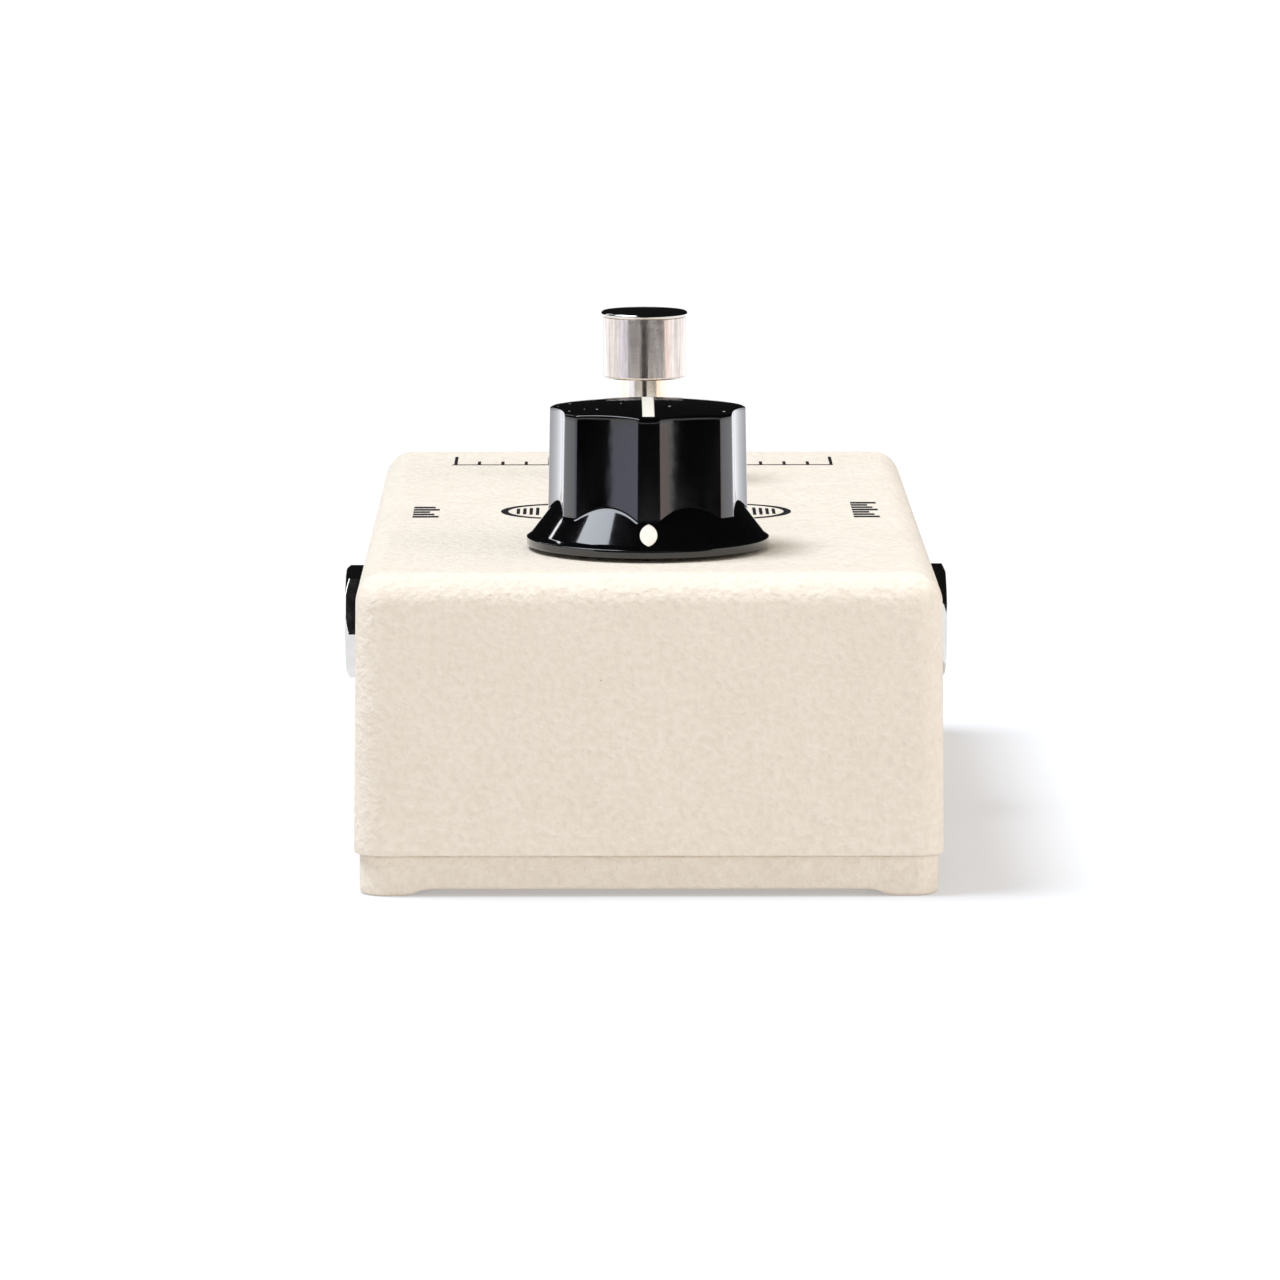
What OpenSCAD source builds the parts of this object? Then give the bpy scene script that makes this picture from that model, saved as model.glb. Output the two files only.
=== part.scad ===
// Compact level pedal: a die-cast box with one knob, one footswitch and a jack on each side.
// Frame: origin at the centre of the footprint on the standing surface, +Z up.
// +Y points to the player's end, where the footswitch is. The input is on -X and the output on +X.

/* [Enclosure] */
// Length of the box from end to end
case_l = 111.5; // [111:0.5:116]
// Width of the box at the seam above the base plate
case_w = 60.5; // [60.5:0.5:64]
// Height of the top face above the standing surface
case_h = 33.15; // [33:0.05:34.5]
// Thickness of the side walls
wall_t = 2.2; // [2:0.1:2.4]
// Thickness of the top plate
top_t = 2.3; // [2.1:0.1:2.4]
// Inward lean of the walls between the seam and the top face, on each side
draft = 0.28; // [0.1:0.02:0.4]
// Radius of the upright corners
corner_r = 3; // [2.5:0.1:3.5]
// Radius of the edge round the top face
edge_r = 3.15; // [2.5:0.05:3.5]

/* [Base plate] */
// Height of the corner feet
foot_h = 0.69; // [0.5:0.01:0.9]
// Height of the base plate's edge, from the recess between the feet to the seam
plate_edge_h = 3.55; // [3.3:0.05:3.8]
// How far the base plate stands in from the box on each side
plate_inset = 0.55; // [0.4:0.05:0.8]
// Length of a foot along the short side
foot_x = 5.9; // [5:0.1:7]
// Length of a foot along the long side
foot_y = 9; // [7:0.5:12]

/* [Knob] */
// Distance of the knob's axis from the middle of the box, towards the far end
knob_y = -33.5; // [-33.7:0.1:-33.3]
// Diameter of the skirt
skirt_d = 25.4; // [24.5:0.1:26]
// Diameter of the fluted body at its foot
knob_d = 21.1; // [20.8:0.02:21.2]
// Height of the knob's shoulder above the top face
knob_h = 14.7; // [14.4:0.1:15.4]
// Number of finger flutes
flutes = 7; // [6:1:9]
// Depth of a flute
flute_depth = 1; // [0.6:0.01:1.1]
// Radius of a flute's hollow
flute_r = 17; // [12:0.5:22]

/* [Footswitch] */
// Distance of the switch's axis from the middle of the box, towards the player
switch_y = 26; // [24:0.5:28]
// Diameter of the cap's bead
cap_d = 9.78; // [9.5:0.02:10.5]
// Height of the cap's top above the top face
cap_top = 19.2; // [18.9:0.1:19.6]
// Diameter of the plunger
plunger_d = 5.75; // [5.65:0.05:5.85]

/* [Jacks] */
// Position of the two audio jacks along the box
jack_y = -2; // [-2.4:0.1:-1.8]
// Height of the jacks' axes
jack_z = 20.9; // [20.7:0.1:21.1]
// Bore for a quarter-inch plug
jack_bore_d = 6.4; // [6.38:0.01:6.42]
// Distance of a nut's outer face from the middle of the box
jack_face_x = 32.7; // [32.6:0.1:34]

/* [Power] */
// Position of the power jack along the box
power_y = 15; // [14:0.5:17]
// Diameter of the socket for a power plug
power_bore_d = 5.7; // [5.6:0.05:5.8]
// Length of the nine-volt battery's can
battery_l = 46.4; // [46:0.1:46.6]
// Width of the battery
battery_w = 26.5; // [26:0.1:26.5]
// Height of the battery as it lies
battery_h = 17.3; // [17:0.1:17.5]

/* [Hidden] */

$fn = 64;
hull_fn = 32;
eps = 0.01;
sqrt3 = sqrt(3);

// Levels
seam_z = foot_h + plate_edge_h;
roof_z = case_h - top_t;
plate_floor = 2.2;
floor_z = foot_h + plate_floor;
post_x = case_w / 2 - wall_t - 2.35;
post_y = case_l / 2 - wall_t - 2.35;
post_r = 3.3;
screw_r = 1.45;
head_r = 2.8;

// Shaft and bushing sizes, with running gaps
running_gap = 0.05;
shaft_r = 3;
pot_thread_r = 3.5;
switch_thread_r = 5.95;
plunger_r = plunger_d / 2;
jack_thread_r = 4.5;
power_thread_r = 4;
hole_gap = 0.1;

// Colours
cream = [0.86, 0.78, 0.66];
phenolic = [0.03, 0.03, 0.035];
ink_white = [0.93, 0.93, 0.88];
nickel = [0.78, 0.77, 0.75];
brass = [0.80, 0.63, 0.32];
steel = [0.60, 0.61, 0.63];
black_plastic = [0.08, 0.08, 0.09];
board_green = [0.10, 0.36, 0.20];
tin = [0.75, 0.75, 0.74];

// ---------- shared shapes ----------

// A flat rectangle with round corners, drawn about the origin
module rounded_rect(l_x, l_y, r) {
    square([l_x - 2 * r, l_y], center = true);
    square([l_x, l_y - 2 * r], center = true);
    for (x = [-1, 1], y = [-1, 1])
        translate([x * (l_x / 2 - r), y * (l_y / 2 - r)])
            circle(r);
}

// A quarter-round button whose top edge has radius r, standing on z = 0 with height r
module round_corner(r) {
    steps = 8;
    arc = [for (i = [0:steps]) [r * cos(90 * i / steps), r * sin(90 * i / steps)]];
    rotate_extrude($fn = hull_fn)
        polygon(concat([[0, 0]], arc));
}

// The solid form of the box, drawn in by a margin on every side
module box_form(margin, low_z, high_z, low_r, high_r) {
    half_x = case_w / 2 - margin;
    half_y = case_l / 2 - margin;
    hull() {
        for (x = [-1, 1], y = [-1, 1]) {
            translate([x * (half_x - low_r), y * (half_y - low_r), low_z])
                cylinder(r = low_r, h = eps, $fn = hull_fn);
            translate([
                x * (half_x - draft - high_r),
                y * (half_y - draft - high_r),
                high_z - high_r
            ])
                round_corner(high_r);
        }
    }
}

// A tube along Z
module tube(r_out, r_in, h) {
    difference() {
        cylinder(r = r_out, h = h);
        translate([0, 0, -1])
            cylinder(r = r_in, h = h + 2);
    }
}

// A hexagon nut standing on z = 0, its corners cut off by a cone; corner_d is measured across them
module hex_nut(corner_d, h, bore_r) {
    flat_r = corner_d / 2 * cos(30);
    face_r = 1.02 * flat_r;
    cut_r = 4;
    difference() {
        cylinder(d = corner_d, h = h, $fn = 6);
        rotate(15)
            rotate_extrude()
                polygon([
                    [face_r, h],
                    [face_r + cut_r, h - cut_r / sqrt3],
                    [face_r + cut_r, h + 1],
                    [face_r, h + 1]
                ]);
        translate([0, 0, -1])
            cylinder(r = bore_r, h = h + 2);
        translate([0, 0, h - 0.4])
            cylinder(r1 = bore_r, r2 = bore_r + 0.5, h = 0.5);
    }
}

// Places children so that their +Z points out of the +X wall at the jack's height
module out_of_side(y, z) {
    translate([0, y, z])
        rotate([0, 90, 0])
            children();
}

// Points along a smooth curve through the given points
function blend_point(a, b, c, d, t) =
    0.5 * ((2 * b) + (c - a) * t + (2 * a - 5 * b + 4 * c - d) * t * t
        + (3 * b - a - 3 * c + d) * t * t * t);
function curve_points(route, steps) = [
    for (i = [0:len(route) - 2], s = [0:steps - 1])
        blend_point(
            route[max(i - 1, 0)], route[i], route[i + 1], route[min(i + 2, len(route) - 1)],
            s / steps
        ),
    route[len(route) - 1]
];
function unit(v) = v / norm(v);
// A direction square to d that doesn't jump along the wire's run
function side_dir(d) = unit(cross(d, abs(d[0]) > 0.9 ? [0, 0.3, 1] : [1, 0.2, 0.1]));

// A round insulated wire along a route
module wire(route, r) {
    sides = 8;
    steps = 4;
    path = curve_points(route, steps);
    last = len(path) - 1;
    rings = [
        for (i = [0:last])
            let (
                d = unit(path[min(i + 1, last)] - path[max(i - 1, 0)]),
                u = side_dir(d),
                v = cross(d, u)
            )
            for (k = [0:sides - 1])
                path[i] + r * cos(360 * k / sides) * u + r * sin(360 * k / sides) * v
    ];
    walls = [
        for (i = [0:last - 1], k = [0:sides - 1])
            let (n = (k + 1) % sides)
            each [
                [i * sides + k, (i + 1) * sides + k, i * sides + n],
                [i * sides + n, (i + 1) * sides + k, (i + 1) * sides + n]
            ]
    ];
    first_cap = [for (k = [0:sides - 1]) k];
    last_cap = [for (k = [sides - 1:-1:0]) last * sides + k];
    polyhedron(points = rings, faces = concat(walls, [first_cap, last_cap]));
}

// ---------- enclosure ----------

module enclosure_shell() {
    color(cream)
    difference() {
        box_form(0, seam_z, case_h, corner_r, edge_r);
        difference() {
            box_form(wall_t, seam_z - 1, roof_z, corner_r - 1, 1.2);
            for (x = [-1, 1], y = [-1, 1])
                translate([x * post_x, y * post_y, seam_z + 1.6])
                    cylinder(r = post_r, h = case_h);
        }
        for (x = [-1, 1], y = [-1, 1])
            translate([x * post_x, y * post_y, 0])
                cylinder(r = screw_r + running_gap, h = 15);
        translate([0, knob_y, roof_z - 1])
            cylinder(r = pot_thread_r + hole_gap, h = case_h);
        translate([0, switch_y, roof_z - 1])
            cylinder(r = switch_thread_r + hole_gap, h = case_h);
        for (side = [0, 1])
            mirror([side, 0, 0])
                out_of_side(jack_y, jack_z)
                    translate([0, 0, case_w / 2 - 2 * wall_t])
                        cylinder(r = jack_thread_r + hole_gap, h = 3 * wall_t);
        mirror([1, 0, 0])
            out_of_side(power_y, jack_z)
                translate([0, 0, case_w / 2 - 2 * wall_t])
                    cylinder(r = power_thread_r + hole_gap, h = 3 * wall_t);
    }
}

// ---------- base plate ----------

plate_w = case_w - 2 * plate_inset;
plate_l = case_l - 2 * plate_inset;
lip_gap = 0.3;
lip_t = 1.3;
lip_h = 1.4;
blend_r = 3;
head_z = 0.8;
head_rim = 0.3;

// The hollow between two rows of feet: flat ceiling at foot_h, with concave ends
module foot_recess(length, foot, across) {
    half = length / 2 - foot - sqrt(blend_r * blend_r - (blend_r - foot_h) * (blend_r - foot_h));
    translate([-half, -across / 2, -2])
        cube([2 * half, across, foot_h + 2]);
    for (x = [-1, 1])
        translate([x * half, across / 2, foot_h - blend_r])
            rotate([90, 0, 0])
                cylinder(r = blend_r, h = across);
}

module base_plate() {
    color(cream)
    difference() {
        union() {
            hull() {
                translate([0, 0, 0.5])
                    linear_extrude(seam_z - 0.5)
                        rounded_rect(plate_w, plate_l, corner_r - 0.3, $fn = hull_fn);
                linear_extrude(eps)
                    rounded_rect(plate_w - 0.8, plate_l - 0.8, corner_r - 0.6, $fn = hull_fn);
            }
            translate([0, 0, seam_z - 1])
                linear_extrude(lip_h + 1)
                    rounded_rect(
                        case_w - 2 * (wall_t + lip_gap),
                        case_l - 2 * (wall_t + lip_gap),
                        corner_r - 1.2
                    );
        }
        translate([0, 0, floor_z])
            linear_extrude(seam_z)
                rounded_rect(
                    case_w - 2 * (wall_t + lip_gap + lip_t),
                    case_l - 2 * (wall_t + lip_gap + lip_t),
                    1
                );
        for (x = [-1, 1], y = [-1, 1])
            translate([x * post_x, y * post_y, 0]) {
                translate([0, 0, seam_z])
                    cylinder(r = post_r + lip_gap, h = lip_h + 1);
                translate([0, 0, -1])
                    cylinder(r = screw_r + 0.15, h = seam_z + 2);
                translate([0, 0, -1])
                    cylinder(r = head_r + 0.1, h = head_z + head_rim + 1);
                translate([0, 0, head_z + head_rim - eps])
                    cylinder(r1 = head_r + 0.1, r2 = screw_r + 0.1, h = head_r - screw_r);
            }
        foot_recess(case_w - 2 * plate_inset, foot_x, case_l);
        rotate(90)
            foot_recess(case_l - 2 * plate_inset, foot_y, case_w);
    }
}

module base_screws() {
    color(steel)
    for (x = [-1, 1], y = [-1, 1])
        translate([x * post_x, y * post_y, 0])
            difference() {
                union() {
                    translate([0, 0, head_z])
                        cylinder(r = head_r, h = head_rim);
                    translate([0, 0, head_z + head_rim - eps])
                        cylinder(r1 = head_r, r2 = screw_r, h = head_r - screw_r);
                    translate([0, 0, head_z + head_rim])
                        cylinder(r = screw_r, h = 11.5);
                }
                for (a = [0, 90])
                    rotate(a)
                        translate([-1.6, -0.3, head_z - 1])
                            cube([3.2, 0.6, 1.9]);
            }
}

// ---------- knob ----------

knob_gap = 0.45;
rim_h = 0.85;
skirt_r = skirt_d / 2;
knob_r = knob_d / 2;
cone_z = 3.82;
cone_slope = (cone_z - knob_gap - rim_h) / (skirt_r - 0.2 - knob_r);
crown_r = knob_r - 0.2;
shoulder_r = 0.35;
dome_rise = 0.7;
dome_r = (crown_r * crown_r + dome_rise * dome_rise) / (2 * dome_rise);
insert_r = 5;
insert_low = 4.5;
insert_top = 12.6;
set_screw_z = 8.6;
set_screw_hole_r = 1.55;
pointer_w = 1.28;
pointer_reach = 9.45;
inlay_t = 0.3;
dot_z = 2.75;
dot_half_w = 0.91;
dot_half_l = 1.35;

// The dome over the knob's body: everything below it, down to low_z
module under_dome(drop, low_z) {
    intersection() {
        translate([0, 0, knob_h + dome_rise - dome_r - drop])
            sphere(r = dome_r, $fn = 240);
        translate([0, 0, low_z])
            cylinder(r = knob_r + 1, h = 40);
    }
}

// Half-profile of the skirt and the fluted body's blank, revolved about the axis
module knob_blank() {
    cone_top_r = 8.6;
    rotate_extrude()
        polygon([
            [0, knob_gap],
            [skirt_r - 0.15, knob_gap],
            [skirt_r, knob_gap + 0.15],
            [skirt_r, knob_gap + rim_h - 0.1],
            [skirt_r - 0.2, knob_gap + rim_h],
            [cone_top_r, knob_gap + rim_h + cone_slope * (skirt_r - 0.2 - cone_top_r)],
            [0, knob_gap + rim_h + cone_slope * (skirt_r - 0.2 - cone_top_r)]
        ]);
    intersection() {
        difference() {
            rotate_extrude()
                polygon([
                    [0, cone_z - 0.5],
                    [knob_r, cone_z - 0.5],
                    [crown_r, knob_h - shoulder_r],
                    [crown_r - shoulder_r, knob_h],
                    [crown_r - shoulder_r, knob_h + dome_rise + 1],
                    [0, knob_h + dome_rise + 1]
                ]);
            for (i = [0:flutes - 1])
                rotate(-90 + (i + 0.5) * 360 / flutes)
                    translate([knob_r - 0.1 - flute_depth + flute_r, 0, cone_z - 2])
                        cylinder(r = flute_r, h = 30, $fn = 96);
        }
        under_dome(0, 0);
    }
}

// Slab that cuts the pointer line's groove in the dome
module pointer_slab() {
    translate([-pointer_w / 2, -pointer_reach, knob_h - 2])
        cube([pointer_w, 2 * pointer_reach - 1.2, 6]);
}

// The lens-shaped plug that marks the skirt, square to the cone
module dot_plug() {
    mid_r = skirt_r - 0.2 - (dot_z - knob_gap - rim_h) / cone_slope;
    arc_r = (dot_half_w * dot_half_w + dot_half_l * dot_half_l) / (2 * dot_half_w);
    translate([0, -mid_r, dot_z])
        rotate([90 - atan(1 / cone_slope), 0, 0])
            intersection_for(x = [-1, 1])
                translate([x * (arc_r - dot_half_w), 0, -inlay_t])
                    cylinder(r = arc_r, h = inlay_t);
}

module knob_body() {
    color(phenolic)
    translate([0, knob_y, case_h])
        difference() {
            knob_blank();
            translate([0, 0, -1])
                cylinder(r = 8.4, h = insert_low);
            translate([0, 0, insert_low - 2])
                cylinder(r = insert_r, h = insert_top - insert_low + 2);
            difference() {
                pointer_slab();
                under_dome(inlay_t, 0);
            }
            dot_plug();
            translate([0, 2, set_screw_z])
                rotate([-90, 0, 0])
                    cylinder(r = set_screw_hole_r, h = 12);
        }
}

module knob_pointer_line() {
    color(ink_white)
    translate([0, knob_y, case_h])
        difference() {
            intersection() {
                pointer_slab();
                under_dome(0, 0);
            }
            under_dome(inlay_t, 0);
        }
}

module knob_skirt_dot() {
    color(ink_white)
    translate([0, knob_y, case_h])
        dot_plug();
}

module knob_insert() {
    color(brass)
    translate([0, knob_y, case_h + insert_low])
        difference() {
            cylinder(r = insert_r, h = insert_top - insert_low);
            translate([0, 0, -1])
                cylinder(r = shaft_r + 0.02, h = insert_top - insert_low - 0.6 + 1);
            translate([0, 0, set_screw_z - insert_low])
                rotate([-90, 0, 0])
                    cylinder(r = set_screw_hole_r, h = 12);
        }
}

module knob_set_screw() {
    color(steel)
    translate([0, knob_y, case_h + set_screw_z])
        rotate([-90, 0, 0])
            translate([0, 0, shaft_r + 0.02])
                difference() {
                    cylinder(r = 1.5, h = 5.2);
                    translate([0, 0, 3.4])
                        cylinder(r = 0.85, h = 3, $fn = 6);
                }
}

// ---------- potentiometer ----------

pot_plate_t = 0.8;
pot_plate_z = roof_z - pot_plate_t - 0.05;
pot_w = 9.6;
pot_l = 11;
board_top = 23.55;
board_t = 1.6;
pot_cavity_z = board_top + 1.35;
rotor_z = pot_cavity_z + 0.9;
rotor_h = 3;

module pot_shaft() {
    color(nickel)
    translate([0, knob_y, 0])
        union() {
            translate([0, 0, rotor_z + rotor_h + 0.02])
                cylinder(r = shaft_r, h = case_h + insert_top - 0.8 - rotor_z - rotor_h - 0.02);
            translate([0, 0, rotor_z + 0.5])
                cylinder(r = 1.5, h = rotor_h);
        }
}

module pot_rotor() {
    color(ink_white)
    translate([0, knob_y, rotor_z])
        difference() {
            cylinder(r = 3.9, h = rotor_h);
            translate([0, 0, 0.5])
                cylinder(r = 1.52, h = rotor_h);
        }
}

module pot_wiper() {
    color(brass)
    translate([0, knob_y, rotor_z]) {
        translate([0, 0, -0.2])
            tube(3.5, 1.3, 0.2);
        for (a = [0, 180])
            rotate(a)
                translate([3, 0, -0.5])
                    cylinder(r = 0.4, h = 0.35);
    }
}

module pot_track() {
    color([0.12, 0.11, 0.10])
    translate([0, knob_y, pot_cavity_z])
        tube(4.1, 2.1, 0.25);
}

module pot_housing() {
    color(black_plastic)
    translate([0, knob_y, 0])
        difference() {
            translate([-pot_w / 2, -pot_l / 2, board_top + 0.05])
                cube([pot_w, pot_l, pot_plate_z - board_top - 0.1]);
            translate([0, 0, pot_cavity_z])
                cylinder(r = 4.2, h = 20);
        }
}

module pot_bushing() {
    color(nickel)
    translate([0, knob_y, 0])
        difference() {
            union() {
                translate([-pot_w / 2, -pot_l / 2, pot_plate_z])
                    cube([pot_w, pot_l, pot_plate_t]);
                translate([0, 0, pot_plate_z])
                    cylinder(r = pot_thread_r, h = case_h + 3.8 - pot_plate_z);
            }
            translate([0, 0, pot_plate_z - 1])
                cylinder(r = shaft_r + running_gap, h = 20);
        }
}

module pot_washer() {
    color(steel)
    translate([0, knob_y, case_h])
        tube(5.9, pot_thread_r + 0.1, 0.5);
}

module pot_nut() {
    color(nickel)
    translate([0, knob_y, case_h + 0.5])
        hex_nut(11.54, 2, pot_thread_r + 0.03);
}

pot_pins = [for (x = [-2.5, 0, 2.5]) [x, knob_y + pot_l / 2 + 0.7]];

module pot_terminals() {
    color(tin)
    for (p = pot_pins) {
        translate([p[0] - 0.4, knob_y + pot_l / 2, board_top + 0.9])
            cube([0.8, 0.9, 0.35]);
        translate([p[0] - 0.4, p[1] - 0.2, board_top - board_t - 0.9])
            cube([0.8, 0.4, board_t + 2.15]);
    }
}

// ---------- footswitch ----------

cap_r = cap_d / 2;
cap_body_r = cap_r - 0.22;
cap_h = 7.6;
cap_low = case_h + cap_top - cap_h;
cap_bore_depth = 5;
plunger_in_cap = 4.9;
tip_r = 1.2;
bushing_chamfer = 0.4;
press_gap = 0.02;
switch_nut_w = 16.17;
top_nut_h = 2.6;
inner_nut_h = 2.2;
switch_washer_t = 0.8;
lock_washer_t = 0.6;
lock_washer_r = 8.2;
thread_gap = 0.03;
washer_gap = 0.1;
bushing_rise = 8.4;
bushing_top = case_h + bushing_rise;
bushing_low = roof_z - 3;
frame_t = 0.8;
frame_z = bushing_low - frame_t;
flange_r = 4.6;
flange_h = 1;
pusher_h = 3;
block_w = 17;
block_z = 13.5;
cavity_r = 6.2;
shelf_z = 17.5;
slot_low = block_z + 1;
foot_z = frame_z - 0.3;
tip_z = 19.9;

// Cap with a rounded bead at its top edge
module switch_cap() {
    bead_h = 0.62;
    edge = 0.25;
    color(nickel)
    translate([0, switch_y, cap_low])
        difference() {
            rotate_extrude()
                union() {
                    square([cap_body_r - edge, cap_h - bead_h]);
                    translate([0, edge])
                        square([cap_body_r, cap_h - bead_h - edge]);
                    translate([cap_body_r - edge, edge])
                        circle(edge);
                    translate([0, cap_h - bead_h])
                        square([cap_r - bead_h / 2, bead_h]);
                    translate([cap_r - bead_h / 2, cap_h - bead_h / 2])
                        circle(bead_h / 2);
                }
            translate([0, 0, -1])
                cylinder(r = plunger_r + press_gap, h = cap_bore_depth + 1);
        }
}

module switch_plunger() {
    color(nickel)
    translate([0, switch_y, 0])
        union() {
            translate([0, 0, foot_z - pusher_h])
                cylinder(r = plunger_r, h = cap_low + plunger_in_cap - foot_z + pusher_h);
            translate([0, 0, foot_z - flange_h])
                cylinder(r = flange_r, h = flange_h);
            translate([0, 0, tip_z])
                cylinder(r = tip_r, h = foot_z - pusher_h - tip_z + eps);
        }
}

spring_turns = 4;
spring_mean_r = 3.7;
spring_wire_r = 0.4;
spring_low = shelf_z;
spring_high = foot_z - flange_h;

// Return spring between the shelf in the housing and the plunger's flange
module switch_spring() {
    pitch = (spring_high - spring_low - 2 * spring_wire_r - 0.04) / spring_turns;
    color(steel)
    translate([0, switch_y, spring_low + spring_wire_r + 0.02])
        wire_helix(spring_mean_r, spring_wire_r, pitch, spring_turns);
}

// A round wire wound about Z, starting at z = 0
module wire_helix(mean_r, wire_r, pitch, turns) {
    sides = 8;
    ring_count = turns * 20;
    rings = [
        for (i = [0:ring_count])
            let (
                a = 360 * turns * i / ring_count,
                z = pitch * turns * i / ring_count
            )
            for (k = [0:sides - 1])
                let (
                    out = mean_r + wire_r * cos(360 * k / sides),
                    up = wire_r * sin(360 * k / sides)
                )
                [out * cos(a), out * sin(a), z + up]
    ];
    walls = [
        for (i = [0:ring_count - 1], k = [0:sides - 1])
            let (n = (k + 1) % sides)
            each [
                [i * sides + k, i * sides + n, (i + 1) * sides + k],
                [i * sides + n, (i + 1) * sides + n, (i + 1) * sides + k]
            ]
    ];
    first_cap = [for (k = [sides - 1:-1:0]) k];
    last_cap = [for (k = [0:sides - 1]) ring_count * sides + k];
    polyhedron(points = rings, faces = concat(walls, [first_cap, last_cap]));
}

module switch_bushing() {
    straight_l = bushing_top - bushing_low - bushing_chamfer;
    color(nickel)
    translate([0, switch_y, bushing_low])
        difference() {
            union() {
                cylinder(r = switch_thread_r, h = straight_l);
                translate([0, 0, straight_l - eps])
                    cylinder(
                        r1 = switch_thread_r,
                        r2 = switch_thread_r - bushing_chamfer,
                        h = bushing_chamfer + eps
                    );
            }
            translate([0, 0, -1])
                cylinder(r = plunger_r + running_gap, h = 30);
        }
}

module switch_top_nut() {
    color(nickel)
    translate([0, switch_y, case_h + switch_washer_t])
        hex_nut(switch_nut_w, top_nut_h, switch_thread_r + thread_gap);
}

module switch_washer() {
    color(black_plastic)
    translate([0, switch_y, case_h])
        tube(8.3, switch_thread_r + washer_gap, switch_washer_t);
}

// Shake-proof washer with outer teeth
module switch_lock_washer() {
    teeth = 12;
    tooth_r = 0.8;
    color(steel)
    translate([0, switch_y, roof_z - lock_washer_t])
        difference() {
            cylinder(r = lock_washer_r, h = lock_washer_t);
            translate([0, 0, -1])
                cylinder(r = switch_thread_r + washer_gap, h = 3);
            for (i = [0:teeth - 1])
                rotate(i * 360 / teeth)
                    translate([lock_washer_r + washer_gap, 0, -1])
                        cylinder(r = tooth_r, h = 3, $fn = 24);
        }
}

module switch_inner_nut() {
    color(nickel)
    translate([0, switch_y, roof_z - lock_washer_t - 0.05])
        mirror([0, 0, 1])
            hex_nut(switch_nut_w, inner_nut_h, switch_thread_r + thread_gap);
}

strap_w = 9;
strap_t = 0.7;
strap_drop = 8;
frame_gap = 0.3;

module switch_frame() {
    color(steel)
    translate([0, switch_y, 0])
        difference() {
            union() {
                translate([-block_w / 2 - strap_t, -block_w / 2, frame_z])
                    cube([block_w + 2 * strap_t, block_w, frame_t]);
                for (x = [-block_w / 2 - strap_t, block_w / 2])
                    translate([x, -strap_w / 2, frame_z - strap_drop])
                        cube([strap_t, strap_w, strap_drop + frame_t / 2]);
            }
            translate([0, 0, frame_z - 1])
                cylinder(r = plunger_r + frame_gap, h = 3);
        }
}

terminal_pitch = 4.8;
terminal_w = 2.2;
terminal_t = 0.7;
tab_drop = 3.9;
pivot_r = 0.8;
pivot_z = 15.95;
rocker_tilt = 8;

// One solder tab of the switch, drawn larger by a margin
module switch_tab(margin) {
    translate([-terminal_w / 2 - margin, -terminal_t / 2 - margin, block_z - tab_drop])
        cube([terminal_w + 2 * margin, terminal_t + 2 * margin, slot_low - block_z + tab_drop]);
}

module at_switch_tabs() {
    for (i = [-1, 0, 1], j = [-1, 0, 1])
        translate([i * terminal_pitch, switch_y + j * terminal_pitch, 0])
            children();
}

module switch_housing() {
    color([0.10, 0.16, 0.34])
    difference() {
        translate([-block_w / 2, switch_y - block_w / 2, block_z])
            cube([block_w, block_w, frame_z - block_z - 0.02]);
        translate([0, switch_y, shelf_z])
            cylinder(r = cavity_r, h = 20);
        translate([-6, switch_y - 3, slot_low])
            cube([12, 6, 10]);
        translate([0, switch_y - 4.3, pivot_z])
            rotate([-90, 0, 0])
                cylinder(r = pivot_r + running_gap, h = 8.6);
        at_switch_tabs()
            translate([0, 0, eps])
                switch_tab(0.03);
    }
}

// Bistable rocker: the plunger's tip throws it from one side to the other
module switch_rocker() {
    color(ink_white)
    translate([0, switch_y, pivot_z])
        rotate([0, rocker_tilt, 0])
            union() {
                rotate([90, 0, 0])
                    cylinder(r = pivot_r, h = 8.4, center = true);
                translate([-5.2, -2.6, -0.4])
                    cube([10.4, 5.2, 0.8]);
            }
}

module switch_terminals() {
    color(tin)
    at_switch_tabs()
        switch_tab(0);
}

// ---------- audio jacks, drawn for the +X side ----------

jack_shell_x = case_w / 2 - 0.09;
jack_inner_x = 0.9;
jack_front_x = 26.8;
jack_w = 15;
jack_bore_r = jack_bore_d / 2;
jack_end_x = jack_inner_x + 1;
jack_washer_t = 0.5;
jack_washer_r = 6.6;
jack_nut_w = 12.9;
collar_r = 6.2;
collar_h = 0.85;
jack_nut_h = jack_face_x - jack_shell_x - jack_washer_t;
bushing_face_x = jack_face_x - 0.3;
leaf_t = 0.4;
leaf_w = 2;
leaf_l = 4.6;
tab_z = 9.9;

// One contact: a leaf beside the bore and a solder tab below the housing, with a margin
module jack_contact(x, margin) {
    leaf_z = jack_z - jack_bore_r - 0.15 - leaf_t;
    translate([x - margin, jack_y - leaf_w / 2 - margin, leaf_z - margin])
        cube([leaf_l + 2 * margin, leaf_w + 2 * margin, leaf_t + 2 * margin]);
    translate([x - margin, jack_y - leaf_w / 2 - margin, tab_z])
        cube([leaf_t + 2 * margin, leaf_w + 2 * margin, leaf_z - tab_z + leaf_t / 2]);
}

module jack_housing(contacts) {
    difference() {
        translate([jack_inner_x, jack_y - jack_w / 2, jack_z - jack_w / 2])
            cube([jack_front_x - jack_inner_x, jack_w, jack_w]);
        out_of_side(jack_y, jack_z)
            translate([0, 0, jack_end_x])
                cylinder(r = jack_bore_r, h = 40);
        for (x = contacts) {
            jack_contact(x, 0.05);
            translate([x - 0.05, jack_y - leaf_w / 2 - 0.05, jack_z - jack_bore_r - 0.3])
                cube([leaf_l + 0.1, leaf_w + 0.1, 1]);
        }
    }
}

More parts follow.
